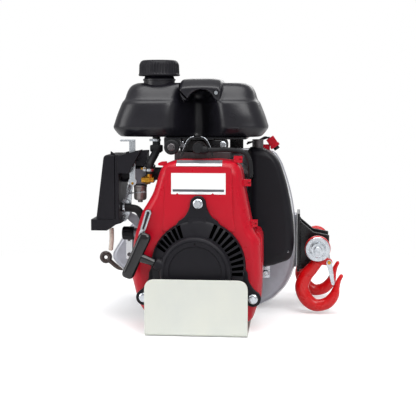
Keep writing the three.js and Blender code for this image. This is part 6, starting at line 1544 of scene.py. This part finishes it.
class WINCH_OT_hooks(bpy.types.Operator):
    """Forges the two safety hooks and presses their latches"""
    bl_idname = "winch.hooks"
    bl_label = "Hooks and latches"

    # Right, up and half width along the hook, as shares of its drop and its widest half
    PATH = (
        (0.000, -0.209, 0.800), (-0.088, -0.319, 0.900), (-0.181, -0.440, 0.950),
        (-0.242, -0.604, 1.000), (-0.187, -0.780, 1.000), (-0.077, -0.885, 0.930),
        (0.033, -0.907, 0.880), (0.165, -0.863, 0.860), (0.264, -0.747, 0.740),
        (0.303, -0.610, 0.480), (0.335, -0.510, 0.360), (0.376, -0.432, 0.300),
    )

    def forging(self, depth):
        """The bodies of one hook, before they are melted together."""
        x0, z0 = ANCHOR
        drop, wide, thick, sides = 91.0, 10.0, 7.5, 28
        path = spline(self.PATH, 6, closed=False)
        rings = []
        count = len(path)
        for i, (u, v, w) in enumerate(path):
            ahead, behind = path[min(i + 1, count - 1)], path[max(i - 1, 0)]
            way = Vector((ahead[0] - behind[0], ahead[1] - behind[1])).normalized()
            half = w * wide
            deep = min(thick, half)
            ring = []
            for k in range(sides):
                t = 2 * math.pi * k / sides
                across = half * math.cos(t)
                ring.append((x0 + u * drop - way.y * across,
                             depth + deep * math.sin(t), z0 + v * drop + way.x * across))
            rings.append(ring)
        eye = turned([(4, depth - 6.4), (14.5, depth - 6.9), (17.2, depth - 5.6),
                      (18.5, depth - 2.6), (18.5, depth + 2.6), (17.2, depth + 5.6),
                      (14.5, depth + 6.9), (4, depth + 6.4)], ANCHOR, steps=72)
        lug = stadium((x0, z0 - 16), 6.0, LATCH_PIVOT, 5.0)
        tip = path[-1]
        nose = turned([(0, depth - 3), (2.1, depth - 2.1), (3, depth), (2.1, depth + 2.1),
                       (0, depth + 3)], (x0 + tip[0] * drop, z0 + tip[1] * drop), steps=24)
        return joined(loft(rings), eye, slab(lug, depth - 4.3, depth + 4.3), nose)

    def execute(self, context):
        for side, depth in HOOK_DEPTHS.items():
            hook = make(side + "_hook_forging", self.forging(depth))
            fuse(hook, sizes().hook_voxel, 4)
            carve(hook, rod(6.3, depth - 12, depth + 12, ANCHOR),
                  rod(2.3, depth - 12, depth + 12, LATCH_PIVOT, steps=24))
            mount(shade(hook, 60), side + "_hook", "red_paint", "hook_" + side)
            dress("latch_" + side, "zinc_fitting", 0.0003)
            fit(side + "_latch_rivet", joined(
                rod(2.7, depth - 7.1, depth - 6.2, LATCH_PIVOT, steps=24, edge=0.3),
                rod(2.7, depth + 6.2, depth + 7.1, LATCH_PIVOT, steps=24, edge=0.3)),
                "brass", body=side + "_latch", angle=30)
        return {"FINISHED"}


class WINCH_OT_rope_guide(bpy.types.Operator):
    """Bends the rope guide"""
    bl_idname = "winch.rope_guide"
    bl_label = "Rope guide"

    def execute(self, context):
        ring = [(x, 85, z) for x, z in circle(6.3, (-169.6, 61.0))]
        arm = spline([(-122, 73.8, 62), (-132, 81.3, 47), (-149, 85.3, 44.5),
                      (-164.5, 85, 56.5)], 10, closed=False)
        foot, bar = (-122, 62), 3.7
        fit("guide_bar", joined(
            tube(ring, bar, 20, closed=True), tube(arm, bar, 20),
            rod(8, 70.3, 74.3, foot, edge=0.5)), "brown_steel", "rope_guide", angle=45)
        fit("guide_nut", hex_nut(9, 74.2, 77.2, foot, 12), "zinc_fitting", angle=30)
        return {"FINISHED"}


class WINCH_OT_capstan_drum(bpy.types.Operator):
    """Turns the capstan drum with its shaft, bearing and bolt"""
    bl_idname = "winch.capstan_drum"
    bl_label = "Capstan drum"

    def execute(self, context):
        start, end = 79.0, 141.0
        flank = spline([(42.0, start + 5.0), (36.5, start + 9.5), (31.4, start + 17.4),
                        (28.8, start + 27.9), (28.5, start + 38.4), (31.0, start + 49.6),
                        (36.4, end - 4.6), (38.0, end - 2.6)], 6, closed=False)
        profile = [(10.4, start), (41.2, start), (42.0, start + 0.8)] + flank
        profile += [(37.6, end - 0.9), (35.6, end), (24.0, end), (22.2, end - 1.2),
                    (22.0, end - 20.0), (10.4, end - 20.0)]
        fit("drum_casting", turned(profile, DRUM_AXIS, steps=160),
            "chrome", "capstan_drum", body="drum", angle=30)
        fit("drum_fastener", joined(
            turned([(0, 121.3), (13.4, 121.3), (14, 121.8), (14, 123.8), (13.4, 124.3),
                    (0, 124.3)], DRUM_AXIS, steps=64),
            hex_nut(13.8, 124.2, 130.2, DRUM_AXIS, 20),
            rod(4, 95.3, 121.6, DRUM_AXIS, steps=24)),
            "zinc_fitting", "drum_bolt", body="drum", angle=30)
        for node in ("drum_shaft", "drum_bearing", "output_gear"):
            dress(node, "steel", 0.0004)
        return {"FINISHED"}


class WINCH_OT_engine(bpy.types.Operator):
    """Finishes the engine castings and what turns inside them"""
    bl_idname = "winch.engine"
    bl_label = "Engine"

    def execute(self, context):
        # The cylinder head and rocker cover take dark finishes: painted shade for the shadow under
        # the tank
        for node, slot, width in (
                ("crankcase", "engine_alloy", 0.0007), ("crankcase_cover", "engine_alloy", 0.0008),
                ("cylinder_head", "dark_steel", 0.0008), ("rocker_cover", "black_paint", 0.0014),
                ("crankshaft", "steel", 0.0005), ("flywheel_fan", "engine_alloy", 0.0005),
                ("clutch_hub", "dark_steel", 0.0005), ("clutch_shoe_left", "dark_steel", 0.0004),
                ("clutch_shoe_right", "dark_steel", 0.0004), ("clutch_drum", "steel", 0.0003),
                ("first_gear", "steel", 0.0), ("second_gear", "steel", 0.0),
                ("muffler", "dark_steel", 0.0010)):
            dress(node, slot, width)
        head = [flange_bolt(7, 4, 4.6, -88.7, (x, 246), 20) for x in (-28, 28)]
        case = [flange_bolt(8, 5, 5.4, -98, (x, z), 5) for z in (24, 118) for x in (-50, 50)]
        fit("engine_screws", joined(*head, *case), "zinc_fitting", angle=30)
        return {"FINISHED"}


class WINCH_OT_stage(bpy.types.Operator):
    """Sets up the camera, the lamps and the white studio"""
    bl_idname = "winch.stage"
    bl_label = "Studio"

    CAMERA, SUBJECT, LENS = (0.127, -1.329, 0.301), (0.0161, -0.079, 0.169), 85.3
    # Name, place, sizes and power of each lamp; all are aimed at the middle of the winch
    LAMPS = (
        ("key", (1.0, -1.5, 1.5), (1.0, 1.0), 20), ("top", (0.0, -0.35, 1.7), (1.6, 1.2), 24),
        ("side", (-1.6, -0.7, 0.8), (0.8, 1.2), 12), ("rear", (0.3, 1.8, 1.0), (1.2, 0.8), 8),
    )
    MIDDLE = (0, 0, 0.15)
    WHITE = (1, 1, 1, 1)
    SOFT_LIGHT, MIRRORED_SHARE, FLOOR_GLOW = 0.38, 0.22, 0.32
    FADE_START, FADE_END = 0.35, 0.75

    def camera(self, context):
        """A long lens that looks at the winch from its front right, a little above it."""
        data = bpy.data.cameras.new("camera")
        data.sensor_width = 36
        data.lens = self.LENS
        data.clip_end = 20
        camera = bpy.data.objects.new("camera", data)
        camera.location = self.CAMERA
        aim = Vector(self.SUBJECT) - camera.location
        camera.rotation_mode = "QUATERNION"
        camera.rotation_quaternion = aim.to_track_quat("-Z", "Y")
        context.scene.collection.objects.link(camera)
        context.scene.camera = camera

    def lamp(self, context, name, location, size, power):
        """A soft rectangular lamp."""
        data = bpy.data.lights.new(name, "AREA")
        data.shape = "RECTANGLE"
        data.size, data.size_y = size
        data.energy = power
        lamp = bpy.data.objects.new(name, data)
        lamp.location = location
        lamp.rotation_mode = "QUATERNION"
        aim = Vector(self.MIDDLE) - Vector(location)
        lamp.rotation_quaternion = aim.to_track_quat("-Z", "Y")
        context.scene.collection.objects.link(lamp)

    def white_rays(self, tree):
        """How much of the white a ray sees: all of it when straight or through glass."""
        path = add_node(tree, "ShaderNodeLightPath")
        mirrored = add_node(tree, "ShaderNodeMath", {
            0: path.outputs["Is Glossy Ray"], 1: self.MIRRORED_SHARE}, operation="MULTIPLY")
        some = add_node(tree, "ShaderNodeMath", {
            0: path.outputs["Is Camera Ray"], 1: mirrored.outputs["Value"]},
            operation="MAXIMUM")
        return add_node(tree, "ShaderNodeMath", {
            0: some.outputs["Value"], 1: path.outputs["Is Transmission Ray"]},
            operation="MAXIMUM").outputs["Value"]

    def world(self, context):
        """Even light on the winch in front of white."""
        world = bpy.data.worlds.new("studio")
        context.scene.world = world
        world.use_nodes = True
        tree = world.node_tree
        tree.nodes.clear()
        soft = add_node(tree, "ShaderNodeBackground", {
            "Color": self.WHITE, "Strength": self.SOFT_LIGHT})
        white = add_node(tree, "ShaderNodeBackground", {"Color": self.WHITE, "Strength": 1.0})
        mix = add_node(tree, "ShaderNodeMixShader", {
            0: self.white_rays(tree), 1: soft.outputs["Background"],
            2: white.outputs["Background"]})
        add_node(tree, "ShaderNodeOutputWorld", {"Surface": mix.outputs["Shader"]})

    def floor(self, context):
        """A floor that keeps the winch's shadow and is white further out."""
        mesh = bpy.data.meshes.new("floor")
        half = 4.0
        mesh.from_pydata([(-half, -half, 0), (half, -half, 0), (half, half, 0), (-half, half, 0)],
                         [], [(0, 1, 2, 3)])
        floor = bpy.data.objects.new("floor", mesh)
        # A hair below the winch, so that the two don't share a plane
        floor.location = (0, 0, cad_box[0].z - 0.0002)
        context.scene.collection.objects.link(floor)
        material = bpy.data.materials.new("Studio_floor_matt")
        material.use_nodes = True
        tree = material.node_tree
        tree.nodes.clear()
        matt = add_node(tree, "ShaderNodeBsdfDiffuse", {"Color": (*colours().floor, 1)})
        glow = add_node(tree, "ShaderNodeEmission", {
            "Color": self.WHITE, "Strength": self.FLOOR_GLOW})
        lifted = add_node(tree, "ShaderNodeAddShader", {0: matt.outputs["BSDF"],
                                                        1: glow.outputs["Emission"]})
        # Away from the object the floor fades into the white background
        where = add_node(tree, "ShaderNodeTexCoord")
        reach = add_node(tree, "ShaderNodeVectorMath", {0: where.outputs["Object"]},
                         operation="LENGTH")
        far = add_node(tree, "ShaderNodeMapRange", {
            "Value": reach.outputs["Value"], "From Min": self.FADE_START,
            "From Max": self.FADE_END, "To Min": 0.0, "To Max": 1.0},
            interpolation_type="SMOOTHSTEP")
        white = add_node(tree, "ShaderNodeEmission", {"Color": self.WHITE, "Strength": 1.0})
        faded = add_node(tree, "ShaderNodeMixShader", {
            0: far.outputs["Result"], 1: lifted.outputs["Shader"], 2: white.outputs["Emission"]})
        mix = add_node(tree, "ShaderNodeMixShader", {
            0: self.white_rays(tree), 1: matt.outputs["BSDF"], 2: faded.outputs["Shader"]})
        add_node(tree, "ShaderNodeOutputMaterial", {"Surface": mix.outputs["Shader"]})
        mesh.materials.append(material)

    def execute(self, context):
        self.camera(context)
        for lamp in self.LAMPS:
            self.lamp(context, *lamp)
        self.world(context)
        self.floor(context)
        context.scene.view_settings.view_transform = "Standard"
        return {"FINISHED"}


OPERATORS = (
    WINCH_OT_stage, WINCH_OT_fuel_tank, WINCH_OT_fuel_cap, WINCH_OT_fan_shroud,
    WINCH_OT_recoil_starter, WINCH_OT_pull_handle, WINCH_OT_skid_plate, WINCH_OT_guard_cover,
    WINCH_OT_gearbox, WINCH_OT_air_cleaner, WINCH_OT_carburettor, WINCH_OT_throttle_lever,
    WINCH_OT_plug_and_lead, WINCH_OT_tank_bracket, WINCH_OT_dipstick, WINCH_OT_stop_switch,
    WINCH_OT_anchor, WINCH_OT_hooks, WINCH_OT_rope_guide, WINCH_OT_capstan_drum,
    WINCH_OT_engine,
)


class WINCH_PT_panel(bpy.types.Panel):
    """Lists the pieces of the winch"""
    bl_label = "Capstan winch"
    bl_idname = "WINCH_PT_panel"
    bl_space_type = "VIEW_3D"
    bl_region_type = "UI"
    bl_category = "Winch"

    def draw(self, context):
        layout = self.layout
        for group in (context.scene.winch_colours, context.scene.winch_sizes):
            box = layout.box()
            for key in group.bl_rna.properties.keys():
                if key not in ("rna_type", "name"):
                    box.prop(group, key)
        for operator in OPERATORS:
            layout.operator(operator.bl_idname)


CLASSES = (WinchColours, WinchSizes, *OPERATORS, WINCH_PT_panel)


def register():
    for cls in CLASSES:
        bpy.utils.register_class(cls)
    bpy.types.Scene.winch_colours = bpy.props.PointerProperty(type=WinchColours)
    bpy.types.Scene.winch_sizes = bpy.props.PointerProperty(type=WinchSizes)


def unregister():
    del bpy.types.Scene.winch_sizes
    del bpy.types.Scene.winch_colours
    for cls in reversed(CLASSES):
        bpy.utils.unregister_class(cls)


def main():
    register()
    for operator in OPERATORS:
        group, name = operator.bl_idname.split(".")
        getattr(getattr(bpy.ops, group), name)()


if __name__ == "__main__":
    main()
